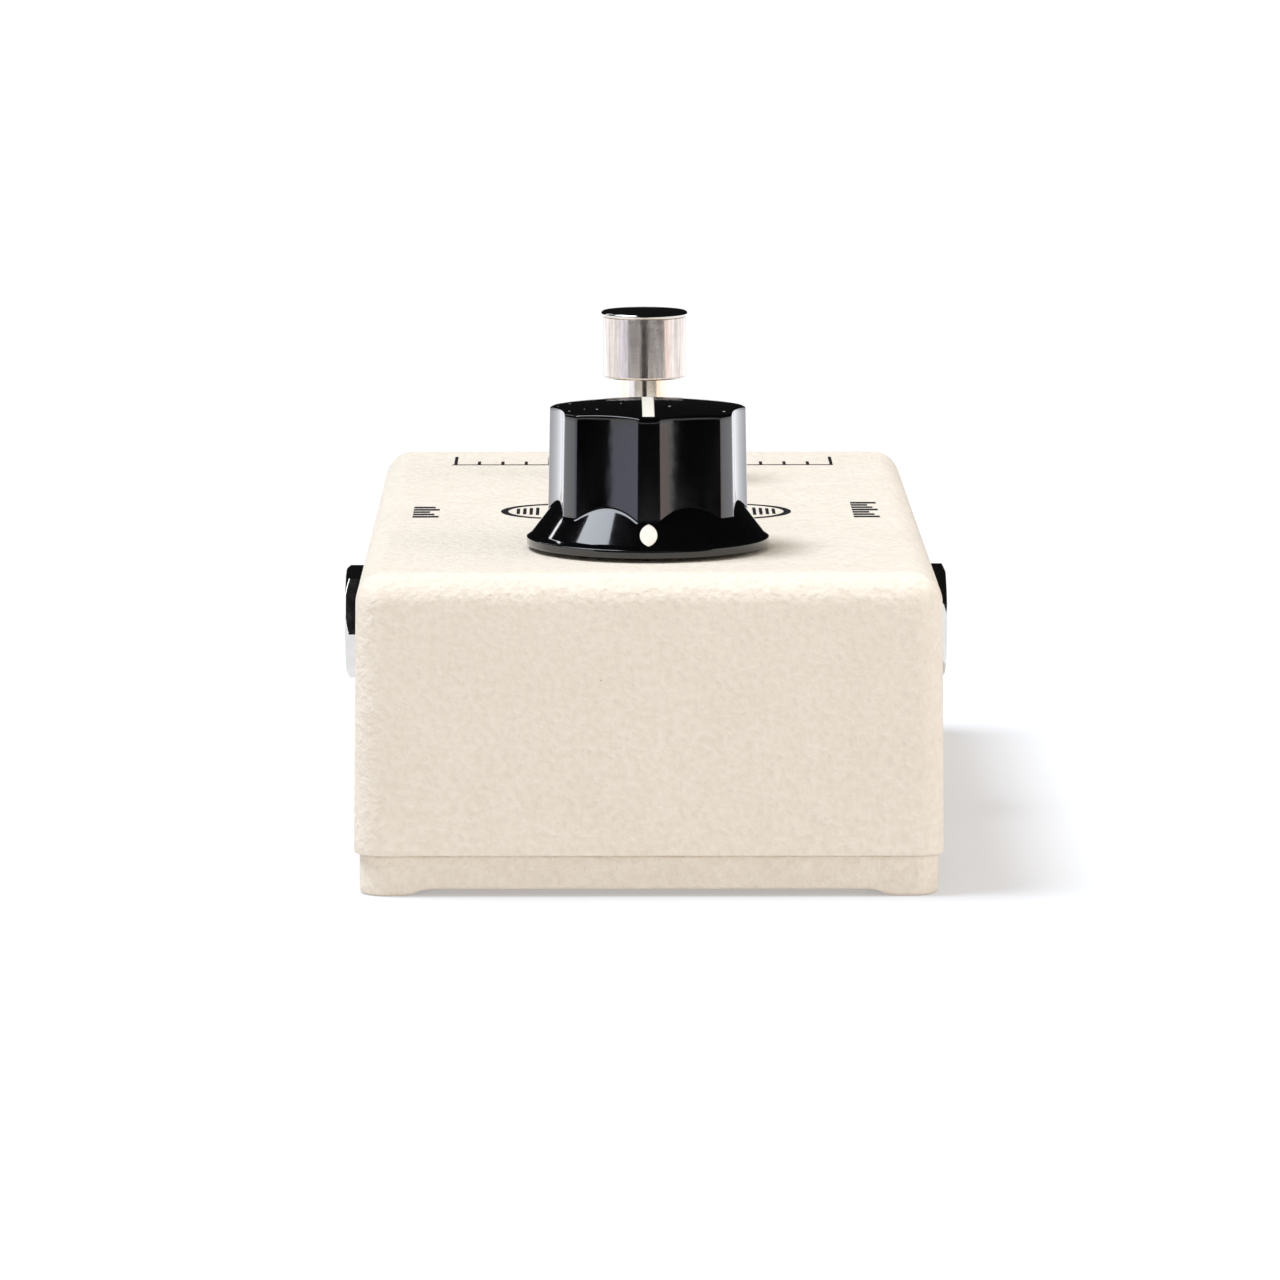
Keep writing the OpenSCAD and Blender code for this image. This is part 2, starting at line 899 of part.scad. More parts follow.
module jack_bushing() {
    out_of_side(jack_y, jack_z)
        difference() {
            union() {
                translate([0, 0, jack_front_x + 0.02])
                    cylinder(r = collar_r, h = collar_h);
                translate([0, 0, jack_front_x + 0.02])
                    cylinder(r = jack_thread_r, h = bushing_face_x - jack_front_x - 0.02);
            }
            translate([0, 0, jack_front_x - 1])
                cylinder(r = jack_bore_r, h = 20);
            translate([0, 0, bushing_face_x - 0.4])
                cylinder(r1 = jack_bore_r, r2 = jack_bore_r + 0.6, h = 0.6);
        }
}

module jack_washer() {
    out_of_side(jack_y, jack_z)
        translate([0, 0, jack_shell_x])
            tube(jack_washer_r, jack_thread_r + washer_gap, jack_washer_t);
}

module jack_nut(turn) {
    out_of_side(jack_y, jack_z)
        translate([0, 0, jack_shell_x + jack_washer_t])
            rotate(turn)
                hex_nut(jack_nut_w, jack_nut_h, jack_thread_r + thread_gap);
}

module jack_contacts(contacts) {
    for (x = contacts)
        jack_contact(x, 0);
}

input_nut_turn = 35.5;
output_nut_turn = 4;
input_contacts = [4.2, 11.5, 19];
output_contacts = [4.2, 19];

module input_jack_housing() color(black_plastic) mirror([1, 0, 0]) jack_housing(input_contacts);
module input_jack_bushing() color(nickel) mirror([1, 0, 0]) jack_bushing();
module input_jack_washer() color(nickel) mirror([1, 0, 0]) jack_washer();
module input_jack_nut() color(nickel) mirror([1, 0, 0]) jack_nut(input_nut_turn);
module input_jack_contacts() color(tin) mirror([1, 0, 0]) jack_contacts(input_contacts);
module output_jack_housing() color(black_plastic) jack_housing(output_contacts);
module output_jack_bushing() color(nickel) jack_bushing();
module output_jack_washer() color(nickel) jack_washer();
module output_jack_nut() color(nickel) jack_nut(output_nut_turn);
module output_jack_contacts() color(tin) jack_contacts(output_contacts);

// ---------- power jack, on the -X side ----------

power_rear_x = 16.5;
power_depth = 10;
power_pin_r = 1.05;
power_bezel_t = 0.9;
power_tab_l = 3.6;
power_bezel_x = jack_shell_x + power_bezel_t;

module on_power_axis() {
    mirror([1, 0, 0])
        out_of_side(power_y, jack_z)
            children();
}

module power_jack_housing() {
    color(black_plastic)
    on_power_axis()
        difference() {
            union() {
                translate([0, 0, jack_shell_x])
                    cylinder(r = 5.4, h = power_bezel_t);
                translate([0, 0, power_rear_x])
                    cylinder(r = power_thread_r, h = jack_shell_x + 0.1 - power_rear_x);
            }
            translate([0, 0, power_bezel_x - power_depth])
                cylinder(d = power_bore_d, h = power_depth + 1);
            translate([0, 0, power_rear_x - 1])
                cylinder(r = power_pin_r + 0.02, h = 20);
        }
}

module power_jack_pin() {
    color(nickel)
    on_power_axis()
        union() {
            translate([0, 0, power_rear_x])
                cylinder(r = power_pin_r, h = power_bezel_x - 1 - power_rear_x);
            translate([0, 0, power_bezel_x - 1 - eps])
                cylinder(r1 = power_pin_r, r2 = power_pin_r - 0.4, h = 0.5);
        }
}

module power_jack_nut() {
    color(nickel)
    on_power_axis()
        translate([0, 0, case_w / 2 - wall_t - 2.6])
            hex_nut(12.7, 2.2, power_thread_r + 0.03);
}

module power_jack_terminals() {
    color(tin)
    on_power_axis()
        for (a = [0, 90, 180])
            rotate(a)
                translate([1.7, -0.9, power_rear_x - power_tab_l])
                    cube([0.4, 1.8, power_tab_l]);
}

// ---------- battery ----------

battery_x = -26.4;
battery_y = -46.8;
battery_z = floor_z + 0.1;
stud_x = battery_x + battery_l;
stud_y = battery_y + battery_w / 2;
stud_pitch = 12.7;
stud_z = battery_z + battery_h / 2;

module at_studs() {
    for (side = [-1, 1])
        translate([stud_x, stud_y + side * stud_pitch / 2, stud_z])
            rotate([0, 90, 0])
                children();
}

module battery_can() {
    color([0.25, 0.26, 0.30])
    translate([battery_x, stud_y, stud_z])
        rotate([90, 0, 90])
            linear_extrude(battery_l)
                rounded_rect(battery_w, battery_h, 1.5);
}

module battery_studs() {
    color(tin)
    translate([stud_x, stud_y, stud_z])
        rotate([0, 90, 0]) {
            translate([0, -stud_pitch / 2, 0])
                cylinder(r = 2.8, h = 2.3);
            translate([0, stud_pitch / 2, 0])
                cylinder(r = 3.9, h = 2.3, $fn = 6);
        }
}

module battery_snap() {
    color(black_plastic)
    difference() {
        translate([stud_x + 0.3, stud_y - battery_w / 2 + 0.5, stud_z - 6.5])
            cube([3.6, battery_w - 1, 13]);
        at_studs()
            translate([0, 0, -1])
                cylinder(r = 4, h = 3.5);
    }
}

module battery_foam() {
    color([0.20, 0.20, 0.22])
    translate([-20, battery_y + battery_w + 0.4, battery_z])
        cube([40, 6, 13]);
}

// ---------- circuit board ----------

board_x = 25.6;
board_low_y = -47.2;
board_high_y = -11.6;
lead_r = 0.3;
hole_r = 0.45;

chip_pos = [15, -24];
chip_leads = [
    for (i = [0:3], side = [-1, 1])
        [chip_pos[0] - 3.81 + 2.54 * i, chip_pos[1] + side * 3.81]
];

// Two banks of resistors, each given by the place of its first lead
resistor_span = 10;
resistor_row = [for (x = [-22, 8], i = [0:2]) [x, -44 + 3.4 * i]];
film_row = [[-20, -32], [-20, -27], [-20, -22]];
film_span = 5;
electrolytic_row = [[11, -32.4], [18.5, -32.4], [-10.5, -19]];
electrolytic_span = 2;
electrolytic_r = 2.5;
diode_pos = [5.5, -15];
diode_span = 7.6;

axial_leads = [
    for (r = resistor_row, s = [0, resistor_span]) [r[0] + s, r[1]],
    for (s = [0, diode_span]) [diode_pos[0] + s, diode_pos[1]]
];
radial_leads = [
    for (c = film_row, s = [-0.5, 0.5]) [c[0] + s * film_span, c[1]],
    for (c = electrolytic_row, s = [-0.5, 0.5]) [c[0] + s * electrolytic_span, c[1]]
];

module circuit_board() {
    color(board_green)
    difference() {
        translate([-board_x, board_low_y, board_top - board_t])
            cube([2 * board_x, board_high_y - board_low_y, board_t]);
        for (p = concat(chip_leads, axial_leads, radial_leads))
            translate([p[0], p[1], board_top - board_t - 1])
                cylinder(r = hole_r, h = board_t + 2, $fn = 24);
        for (p = pot_pins)
            translate([p[0], p[1], board_top - board_t - 1])
                cylinder(r = 0.6, h = board_t + 2, $fn = 24);
    }
}

module op_amp_chip() {
    body_l = 9.4;
    body_w = 6.3;
    color(black_plastic)
    union() {
        translate([chip_pos[0], chip_pos[1], board_top + 0.5])
            difference() {
                translate([-body_l / 2, -body_w / 2, 0])
                    cube([body_l, body_w, 3.2]);
                translate([-body_l / 2, 0, 2.9])
                    cylinder(r = 0.8, h = 1);
            }
        for (p = chip_leads)
            let (side = sign(p[1] - chip_pos[1])) {
                translate([p[0] - 0.25, p[1] - 0.125, board_top - board_t - 0.9])
                    cube([0.5, 0.25, board_t + 3]);
                translate([p[0] - 0.25, min(p[1], p[1] - side * 0.8), board_top + 1.9])
                    cube([0.5, 0.8, 0.25]);
            }
    }
}

// A part that lies on the board on two bent leads, its first lead at the origin
module axial_part(span, body_r, body_l) {
    axis_z = body_r + 0.3;
    translate([span / 2 - body_l / 2, 0, axis_z])
        rotate([0, 90, 0])
            cylinder(r = body_r, h = body_l, $fn = 32);
    translate([0, 0, axis_z])
        rotate([0, 90, 0])
            cylinder(r = lead_r, h = span, $fn = 16);
    for (x = [0, span])
        translate([x, 0, -board_t - 0.9])
            cylinder(r = lead_r, h = board_t + 0.9 + axis_z, $fn = 16);
}

module resistors() {
    color([0.72, 0.60, 0.42])
    for (r = resistor_row)
        translate([r[0], r[1], board_top])
            axial_part(resistor_span, 1.15, 6.2);
}

module diode() {
    color(black_plastic)
    translate([diode_pos[0], diode_pos[1], board_top])
        axial_part(diode_span, 1.3, 5);
}

module film_capacitors() {
    color([0.62, 0.14, 0.12])
    for (c = film_row)
        translate([c[0], c[1], board_top]) {
            translate([-3.6, -1.3, 0.3])
                cube([7.2, 2.6, 5.8]);
            for (s = [-0.5, 0.5])
                translate([s * film_span, 0, -board_t - 0.9])
                    cylinder(r = lead_r, h = board_t + 1.3, $fn = 16);
        }
}

module electrolytic_capacitors() {
    color([0.10, 0.14, 0.30])
    for (c = electrolytic_row)
        translate([c[0], c[1], board_top]) {
            difference() {
                translate([0, 0, 0.3])
                    cylinder(r = electrolytic_r, h = 6.2);
                translate([0, 0, 1.2])
                    difference() {
                        cylinder(r = electrolytic_r + 1, h = 0.4);
                        translate([0, 0, -1])
                            cylinder(r = electrolytic_r - 0.2, h = 3);
                    }
            }
            for (s = [-0.5, 0.5])
                translate([s * electrolytic_span, 0, -board_t - 0.9])
                    cylinder(r = lead_r, h = board_t + 1.3, $fn = 16);
        }
}

// ---------- internal wires, each soldered at both ends ----------

wire_r = 0.55;
pad_z = board_top + 0.02;
over_z = jack_z + jack_w / 2 + 1.1;
tab_end = block_z - tab_drop;

snap_x = stud_x + 3.92;
power_tab_x = power_tab_l - power_rear_x;
power_tab_z = jack_z + 1.9;

module battery_lead_red() {
    color([0.70, 0.06, 0.05])
    wire([
        [snap_x, stud_y + 5, stud_z + 3],
        [snap_x + 0.6, stud_y + 5, stud_z + 3],
        [snap_x + 1.2, stud_y + 5, stud_z + 3],
        [snap_x + 2.5, stud_y + 6.5, stud_z + 6],
        [snap_x + 2.7, stud_y + 8, stud_z + 10],
        [snap_x + 2.4, stud_y + 9, stud_z + 14],
        [snap_x - 0.5, stud_y + 9.2, stud_z + 15],
        [snap_x - 1.6, stud_y + 9.2, stud_z + 13.5],
        [snap_x - 1.8, stud_y + 9.2, pad_z]
    ], wire_r);
}

module battery_lead_black() {
    color(black_plastic)
    wire([
        [snap_x, stud_y - 5, stud_z + 3],
        [snap_x + 0.6, stud_y - 5, stud_z + 3],
        [snap_x + 1.2, stud_y - 5, stud_z + 3],
        [snap_x + 2.5, stud_y - 6, stud_z + 6],
        [snap_x + 2.7, stud_y - 6.5, stud_z + 10],
        [snap_x + 2.4, stud_y - 7, stud_z + 14],
        [snap_x - 0.5, stud_y - 7, stud_z + 15],
        [snap_x - 1.6, stud_y - 7, stud_z + 13.5],
        [snap_x - 1.8, stud_y - 7, pad_z]
    ], wire_r);
}

module power_wires() {
    color([0.55, 0.10, 0.08])
    for (i = [0, 1])
        let (x = -24 + 2.4 * i)
        wire([
            [x, -17.5, pad_z],
            [x, -17.2, pad_z + 2.5],
            [x, -14, over_z + 0.1],
            [x, -8, over_z],
            [x + 0.5, 2, over_z],
            [x + 2, 7, over_z],
            [x + 8, 11, over_z - 3],
            [power_tab_x + 3.4 - i, power_y - 1.5, power_tab_z + 2 - 1.5 * i],
            [power_tab_x + 1.6, power_y, power_tab_z - 3.8 * i],
            [power_tab_x + 0.8, power_y, power_tab_z - 3.8 * i],
            [power_tab_x + 0.03, power_y, power_tab_z - 3.8 * i]
        ], wire_r);
}

module input_wires() {
    color([0.80, 0.70, 0.15])
    for (i = [0:2])
        let (x = -input_contacts[i] - leaf_t / 2)
        wire([
            [x, jack_y, tab_z - 0.6],
            [x, jack_y - 1.5, tab_z - 1.6],
            [x - 0.4, jack_y - 6, tab_z - 1.2],
            [x - 0.6, -10.1, tab_z + 0.6],
            [x - 0.6, -10.55, tab_z + 4],
            [x - 0.6, -10.55, 20],
            [x - 0.6, -10.55, 24.5],
            [x - 0.6, -11.6, 26.2],
            [x - 0.6, -13.2, 25.4],
            [x - 0.6, -13.4, pad_z]
        ], wire_r);
}

module output_wires() {
    color([0.15, 0.45, 0.65])
    for (i = [0:1])
        let (x = output_contacts[i] + leaf_t / 2)
        wire([
            [x, jack_y, tab_z - 0.6],
            [x, jack_y - 1.5, tab_z - 1.6],
            [x + 0.4, jack_y - 6, tab_z - 1.2],
            [x + 0.6, -10.1, tab_z + 0.6],
            [x + 0.6, -10.55, tab_z + 4],
            [x + 0.6, -10.55, 20],
            [x + 0.6, -10.55, 24.5],
            [x + 0.6, -11.6, 26.2],
            [x + 0.6, -13.2, 25.4],
            [x + 0.6, -13.4, pad_z]
        ], wire_r);
}

module switch_wires() {
    color([0.20, 0.50, 0.25])
    for (i = [-1, 0, 1])
        let (x = i * terminal_pitch)
        wire([
            [23 + 1.3 * i, -14 + 1.0 * i, pad_z],
            [23 + 1.3 * i, -13.6 + 1.0 * i, pad_z + 3],
            [23 + 1.3 * i, -10, over_z],
            [23 + 1.3 * i, -2, over_z],
            [22 + 1.3 * i, 6, over_z - 0.6],
            [18 + 1.3 * i, 11, 20],
            [13 + 2.2 * i, 13, 12],
            [x + 4, switch_y - 9, tab_end - 2],
            [x, switch_y - terminal_pitch - 1, tab_end - 1.5],
            [x, switch_y - terminal_pitch, tab_end - 0.3]
        ], wire_r);
}

enclosure_shell();
base_plate();
base_screws();
knob_body();
knob_pointer_line();
knob_skirt_dot();
knob_insert();
knob_set_screw();
pot_shaft();
pot_rotor();
pot_wiper();
pot_track();
pot_housing();
pot_bushing();
pot_washer();
pot_nut();
pot_terminals();
switch_cap();
switch_plunger();
switch_spring();
switch_bushing();
switch_top_nut();
switch_washer();
switch_lock_washer();
switch_inner_nut();
switch_frame();
switch_housing();
switch_rocker();
switch_terminals();
input_jack_housing();
input_jack_bushing();
input_jack_washer();
input_jack_nut();
input_jack_contacts();
output_jack_housing();
output_jack_bushing();
output_jack_washer();
output_jack_nut();
output_jack_contacts();
power_jack_housing();
power_jack_pin();
power_jack_nut();
power_jack_terminals();
battery_can();
battery_studs();
battery_snap();
battery_foam();
circuit_board();
op_amp_chip();
resistors();
film_capacitors();
electrolytic_capacitors();
diode();
battery_lead_red();
battery_lead_black();
power_wires();
input_wires();
output_wires();
switch_wires();
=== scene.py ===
"""Looks for the compact level pedal: cream die-cast box, black knob, footswitch and two jacks.

Lengths are millimetres in the part's own frame, and MM turns them into metres as a mesh is made.
"""

import math

import bmesh
import bpy
import numpy as np
from mathutils import Matrix, Vector, noise


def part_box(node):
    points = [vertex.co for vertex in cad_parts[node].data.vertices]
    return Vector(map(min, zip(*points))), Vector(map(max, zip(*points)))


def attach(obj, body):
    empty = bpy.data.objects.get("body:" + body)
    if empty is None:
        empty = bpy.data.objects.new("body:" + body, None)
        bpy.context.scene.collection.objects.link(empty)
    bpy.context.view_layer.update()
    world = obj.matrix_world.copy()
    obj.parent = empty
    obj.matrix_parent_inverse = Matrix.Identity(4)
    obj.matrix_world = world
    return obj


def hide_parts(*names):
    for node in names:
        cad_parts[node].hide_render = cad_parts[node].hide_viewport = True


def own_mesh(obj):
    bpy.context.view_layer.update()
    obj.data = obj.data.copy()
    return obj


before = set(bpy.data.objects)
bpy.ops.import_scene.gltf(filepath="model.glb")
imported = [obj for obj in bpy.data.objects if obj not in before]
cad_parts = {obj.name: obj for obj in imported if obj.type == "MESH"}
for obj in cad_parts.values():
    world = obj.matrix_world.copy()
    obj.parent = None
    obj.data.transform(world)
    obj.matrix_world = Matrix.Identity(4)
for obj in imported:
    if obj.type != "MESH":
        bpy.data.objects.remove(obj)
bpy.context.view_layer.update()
scene = bpy.context.scene
MM = 0.001


def box(node):
    """Lowest and highest corner of a CAD node, in millimetres."""
    low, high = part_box(node)
    return np.array(low) / MM, np.array(high) / MM


def middle(node):
    return sum(box(node)) / 2


def set_all(target, **settings):
    for key, value in settings.items():
        setattr(target, key, value)
    return target


# ---------- camera ----------

CAMERA_PLACE = (-4.94, -756.02, 128.2)
CAMERA_YAW = 0.0057
CAMERA_PITCH = 0.1441
CAMERA_LENS = 195.8

camera = bpy.data.objects.new("camera", bpy.data.cameras.new("camera"))
set_all(camera.data, sensor_width=36, lens=CAMERA_LENS, clip_start=0.01, clip_end=50)
camera.location = Vector(CAMERA_PLACE) * MM
camera.rotation_euler = (math.pi / 2 - CAMERA_PITCH, 0, -CAMERA_YAW)
scene.collection.objects.link(camera)
scene.camera = camera
scene.view_settings.view_transform = "Standard"

# ---------- sizes taken from the frame ----------

shell_low, shell_high = box("enclosure_shell")
plate_high = box("base_plate")[1]
insert_low, insert_high = box("knob_insert")
cap_low, cap_high = box("switch_cap")
spring_low, spring_high = box("switch_spring")
power_low, power_high = box("power_jack_housing")
CASE_HALF_X, CASE_HALF_Y = shell_high[0], shell_high[1]
SEAM_Z, TOP_Z = shell_low[2], shell_high[2]
KNOB_Y = middle("knob_body")[1]
SWITCH_Y = middle("switch_cap")[1]
JACK_Y, JACK_Z = middle("output_jack_nut")[1:]
POWER_Y = middle("power_jack_housing")[1]
SKIRT_R = box("knob_body")[1][0]
INSERT_R = insert_high[0]
CAP_R = cap_high[0]
BOARD_Z = box("circuit_board")[1][2]

# ---------- mesh tools ----------

TINY = 1e-6
PRISM = [[3, 2, 1, 0], [4, 5, 6, 7]] + [[i, (i + 1) % 4, (i + 1) % 4 + 4, i + 4] for i in range(4)]


def add_object(name, verts, faces, sharp_deg=32):
    """A mesh object from millimetre vertices, smooth but for edges sharper than sharp_deg."""
    mesh = bpy.data.meshes.new(name)
    mesh.from_pydata((np.asarray(verts, float) * MM).tolist(), [], faces)
    obj = bpy.data.objects.new(name, mesh)
    scene.collection.objects.link(obj)
    work = bmesh.new()
    work.from_mesh(mesh)
    bmesh.ops.recalc_face_normals(work, faces=work.faces)
    work.to_mesh(mesh)
    work.free()
    shade(obj, sharp_deg)
    return obj


def shade(obj, sharp_deg):
    obj.data.shade_smooth()
    obj.data.set_sharp_from_angle(angle=math.radians(sharp_deg))


def skin(rings, start=None, end=None):
    """Vertices and faces of a skin over rings of equal length.

    start and end are pole points that close it. Without them the last ring joins the first.
    """
    rings = np.asarray(rings, float)
    rows, count = rings.shape[:2]
    verts = rings.reshape(-1, 3).tolist()
    spans = rows if start is None and end is None else rows - 1
    i, j = np.meshgrid(np.arange(spans), np.arange(count), indexing="ij")
    k, up = (j + 1) % count, (i + 1) % rows
    quads = np.stack([i * count + j, i * count + k, up * count + k, up * count + j], -1)
    faces = quads.reshape(-1, 4).tolist()
    for pole, row, turn in ((start, 0, -1), (end, rows - 1, 1)):
        if pole is None:
            continue
        verts.append(list(pole))
        ring = [row * count + n for n in range(count)]
        for a, b in zip(ring, ring[1:] + ring[:1]):
            faces.append([a, b, len(verts) - 1][::turn])
    return verts, faces


def rounded(corners, steps=4, loop=True):
    """A line through corners given as (x, y, radius), each turned into an arc of that radius."""
    points = [np.array(c[:2], float) for c in corners]
    line = []
    for i, corner in enumerate(points):
        radius = corners[i][2]
        if radius <= 0 or (not loop and i in (0, len(points) - 1)):
            line.append(corner)
            continue
        u, v = points[i - 1] - corner, points[(i + 1) % len(points)] - corner
        reach_u, reach_v = np.linalg.norm(u), np.linalg.norm(v)
        u, v = u / reach_u, v / reach_v
        half = math.acos(max(-1, min(1, float(u @ v)))) / 2
        cut = min(radius / math.tan(half), 0.45 * min(reach_u, reach_v))
        middle = (u + v) / max(np.linalg.norm(u + v), 1e-9) * cut / math.cos(half)
        first, last = u * cut - middle, v * cut - middle
        swing = math.pi / 2 - half
        for s in range(steps + 1):
            t = s / steps
            arm = first * math.sin((1 - t) * 2 * swing) + last * math.sin(t * 2 * swing)
            line.append(corner + middle + arm / math.sin(2 * swing))
    return np.array(line)


def circle(sides):
    return np.arange(sides) * 2 * math.pi / sides


def ring_of(radius, height, angles):
    """Points at the angles about Z. Radius and height are one value, or one for each angle."""
    radius, height = (np.broadcast_to(value, angles.shape) for value in (radius, height))
    return np.column_stack([radius * np.cos(angles), radius * np.sin(angles), height])


def turn_profile(line, sides=96):
    """Skin of a line of (radius, height) turned about Z, closed where it ends on the axis."""
    on_axis = [int(line[tip][0] < TINY) for tip in (0, -1)]
    rings = [ring_of(r, h, circle(sides)) for r, h in line[on_axis[0] : len(line) - on_axis[1]]]
    start = (0, 0, line[0][1]) if on_axis[0] else None
    end = (0, 0, line[-1][1]) if on_axis[1] else None
    return skin(rings, start, end)


def placed(verts, place=(0, 0, 0), side=0, turn_deg=0):
    """Local vertices moved to place. side -1 or 1 lays local Z along X, out of that side."""
    verts = np.asarray(verts, float)
    c, s = math.cos(math.radians(turn_deg)), math.sin(math.radians(turn_deg))
    verts = verts @ np.array([[c, s, 0], [-s, c, 0], [0, 0, 1]])
    if side:
        verts = np.stack([side * verts[:, 2], verts[:, 1], -verts[:, 0]], 1)
    return verts + np.asarray(place, float)


def piece_at(name, shape, place=(0, 0, 0), side=0, sharp_deg=32, node=None):
    """A piece from vertices and faces, moved to its place. It stands for a CAD node, if named."""
    verts, faces = shape
    piece = add_object(name, placed(verts, place, side), faces, sharp_deg)
    if node:
        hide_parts(node)
    return piece


def turned_part(name, node, corners, place, side=0, sides=96, steps=4, loop=True):
    """A turned piece with rounded corners that stands for a CAD node."""
    shape = turn_profile(rounded(corners, steps, loop), sides)
    return piece_at(name, shape, place, side, node=node)


def settle(obj, sharp_deg):
    """Applies an object's modifiers to its mesh."""
    graph = bpy.context.evaluated_depsgraph_get()
    mesh = bpy.data.meshes.new_from_object(obj.evaluated_get(graph))
    old = obj.data
    obj.modifiers.clear()
    obj.data = mesh
    bpy.data.meshes.remove(old)
    shade(obj, sharp_deg)


def carve(obj, *cutters, sharp_deg=32):
    """Cuts closed meshes out of obj."""
    for cutter in cutters:
        cut = obj.modifiers.new("cut", "BOOLEAN")
        set_all(cut, operation="DIFFERENCE", solver="MANIFOLD", object=cutter)
    settle(obj, sharp_deg)
    for cutter in cutters:
        bpy.data.meshes.remove(cutter.data)


def rod(radius, low, high, place=(0, 0), side=0, sides=64):
    """A plain round cutter from low to high along its axis."""
    line = [(0, low), (radius, low), (radius, high), (0, high)]
    at = (0, *place) if side else (*place, 0)
    return piece_at("cutter", turn_profile(line, sides), at, side)


def soft_min(a, b, width):
    mix = np.clip(0.5 + 0.5 * (b - a) / width, 0, 1)
    return b * (1 - mix) + a * mix - width * mix * (1 - mix)


def soft_max(a, b, width):
    return -soft_min(-a, -b, width)


def smooth_step(t):
    t = np.clip(t, 0, 1)
    return t * t * (3 - 2 * t)


def lumps(points, size):
    """Smooth noise about zero at each point, in lumps of that size."""
    return np.array([noise.noise(Vector(p) / size) for p in points])


# ---------- box-shaped skins ----------

SIDE_STEPS_X = 60
SIDE_STEPS_Y = 108
CORNER_STEPS = 10
LEAST_R = 0.04
ROOF_STEP = 1.1


def box_ring(half_x, half_y, radius, z, inset=0):
    """A level rectangle with round corners, drawn in by inset, as points turning left."""
    radius = max(radius - inset, LEAST_R)
    in_x, in_y = (max(half - inset - radius, LEAST_R / 2) for half in (half_x, half_y))
    ring = []
    corners = np.array([(in_x, -in_y), (in_x, in_y), (-in_x, in_y), (-in_x, -in_y)])
    for side, steps in enumerate((SIDE_STEPS_Y, SIDE_STEPS_X) * 2):
        start, end = corners[side], corners[(side + 1) % 4]
        facing = math.radians(90 * side)
        out = np.array([math.cos(facing), math.sin(facing)]) * radius
        for s in range(steps):
            ring.append(start + (end - start) * s / steps + out)
        for s in range(CORNER_STEPS):
            angle = facing + math.pi / 2 * s / CORNER_STEPS
            ring.append(end + radius * np.array([math.cos(angle), math.sin(angle)]))
    return [(x, y, z) for x, y in ring]


def quarter(rows):
    """(1 - sine, 1 - cosine) at even steps from 0 to 90 degrees."""
    return [(1 - math.sin(a), 1 - math.cos(a)) for a in np.linspace(0, math.pi / 2, rows)]


# ---------- enclosure shell ----------

WALL_T = 2.2
TOP_T = 2.3
DRAFT = 0.28
CORNER_R = 3.0
EDGE_R = 3.15
LIP_R = 0.16
CAVITY_EDGE_R = 1.2
CAVITY_LIP_R = 0.1
POST_INSET = 4.55
POST_R = 3.3
POST_RISE = 1.6
SCREW_R = 1.45
SCREW_HOLE_R = SCREW_R + 0.05
SCREW_HOLE_TOP = 15
KNOB_HOLE_R = 3.6
SWITCH_HOLE_R = 6.05
JACK_HOLE_R = 4.6
POWER_HOLE_R = 4.1
PAINT_LUMP = 0.012
LUMP_SIZE = 4.0

POSTS = [
    (x * (CASE_HALF_X - POST_INSET), y * (CASE_HALF_Y - POST_INSET))
    for x in (-1, 1)
    for y in (-1, 1)
]


def box_skin(margin, low, high, low_r, high_r, lip):
    """The box's form drawn in by a margin, from low to high, with a small lip radius below."""
    half_x, half_y = CASE_HALF_X - margin, CASE_HALF_Y - margin
    rings = []
    for across, up in quarter(4):
        rings.append(box_ring(half_x, half_y, low_r, low + lip * up, lip * across))
    wall_low, wall_top = low + lip, high - high_r
    for t in np.linspace(0, 1, 30)[1:]:
        radius = low_r + (high_r - low_r) * t
        z = wall_low + (wall_top - wall_low) * t
        rings.append(box_ring(half_x - DRAFT * t, half_y - DRAFT * t, radius, z))
    half_x, half_y = half_x - DRAFT, half_y - DRAFT
    for down, across in quarter(14)[1:]:
        rings.append(box_ring(half_x, half_y, high_r, high - high_r * down, high_r * across))
    half_x, half_y = half_x - high_r, half_y - high_r
    for shrink in np.linspace(0, half_x - 0.3, int(half_x / ROOF_STEP) + 1)[1:]:
        rings.append(box_ring(half_x, half_y, LEAST_R, high, shrink))
    return skin(rings, (0, 0, low), (0, 0, high))


def waver(obj, amount, size):
    """Moves a mesh's points inwards by soft noise, as thick paint lies."""
    mesh = obj.data
    points = np.array([v.co for v in mesh.vertices]) / MM
    normals = np.array([n.vector for n in mesh.vertex_normals])
    shift = (lumps(points, size) - 1) * amount
    mesh.vertices.foreach_set("co", ((points + normals * shift[:, None]) * MM).ravel())
    mesh.update()


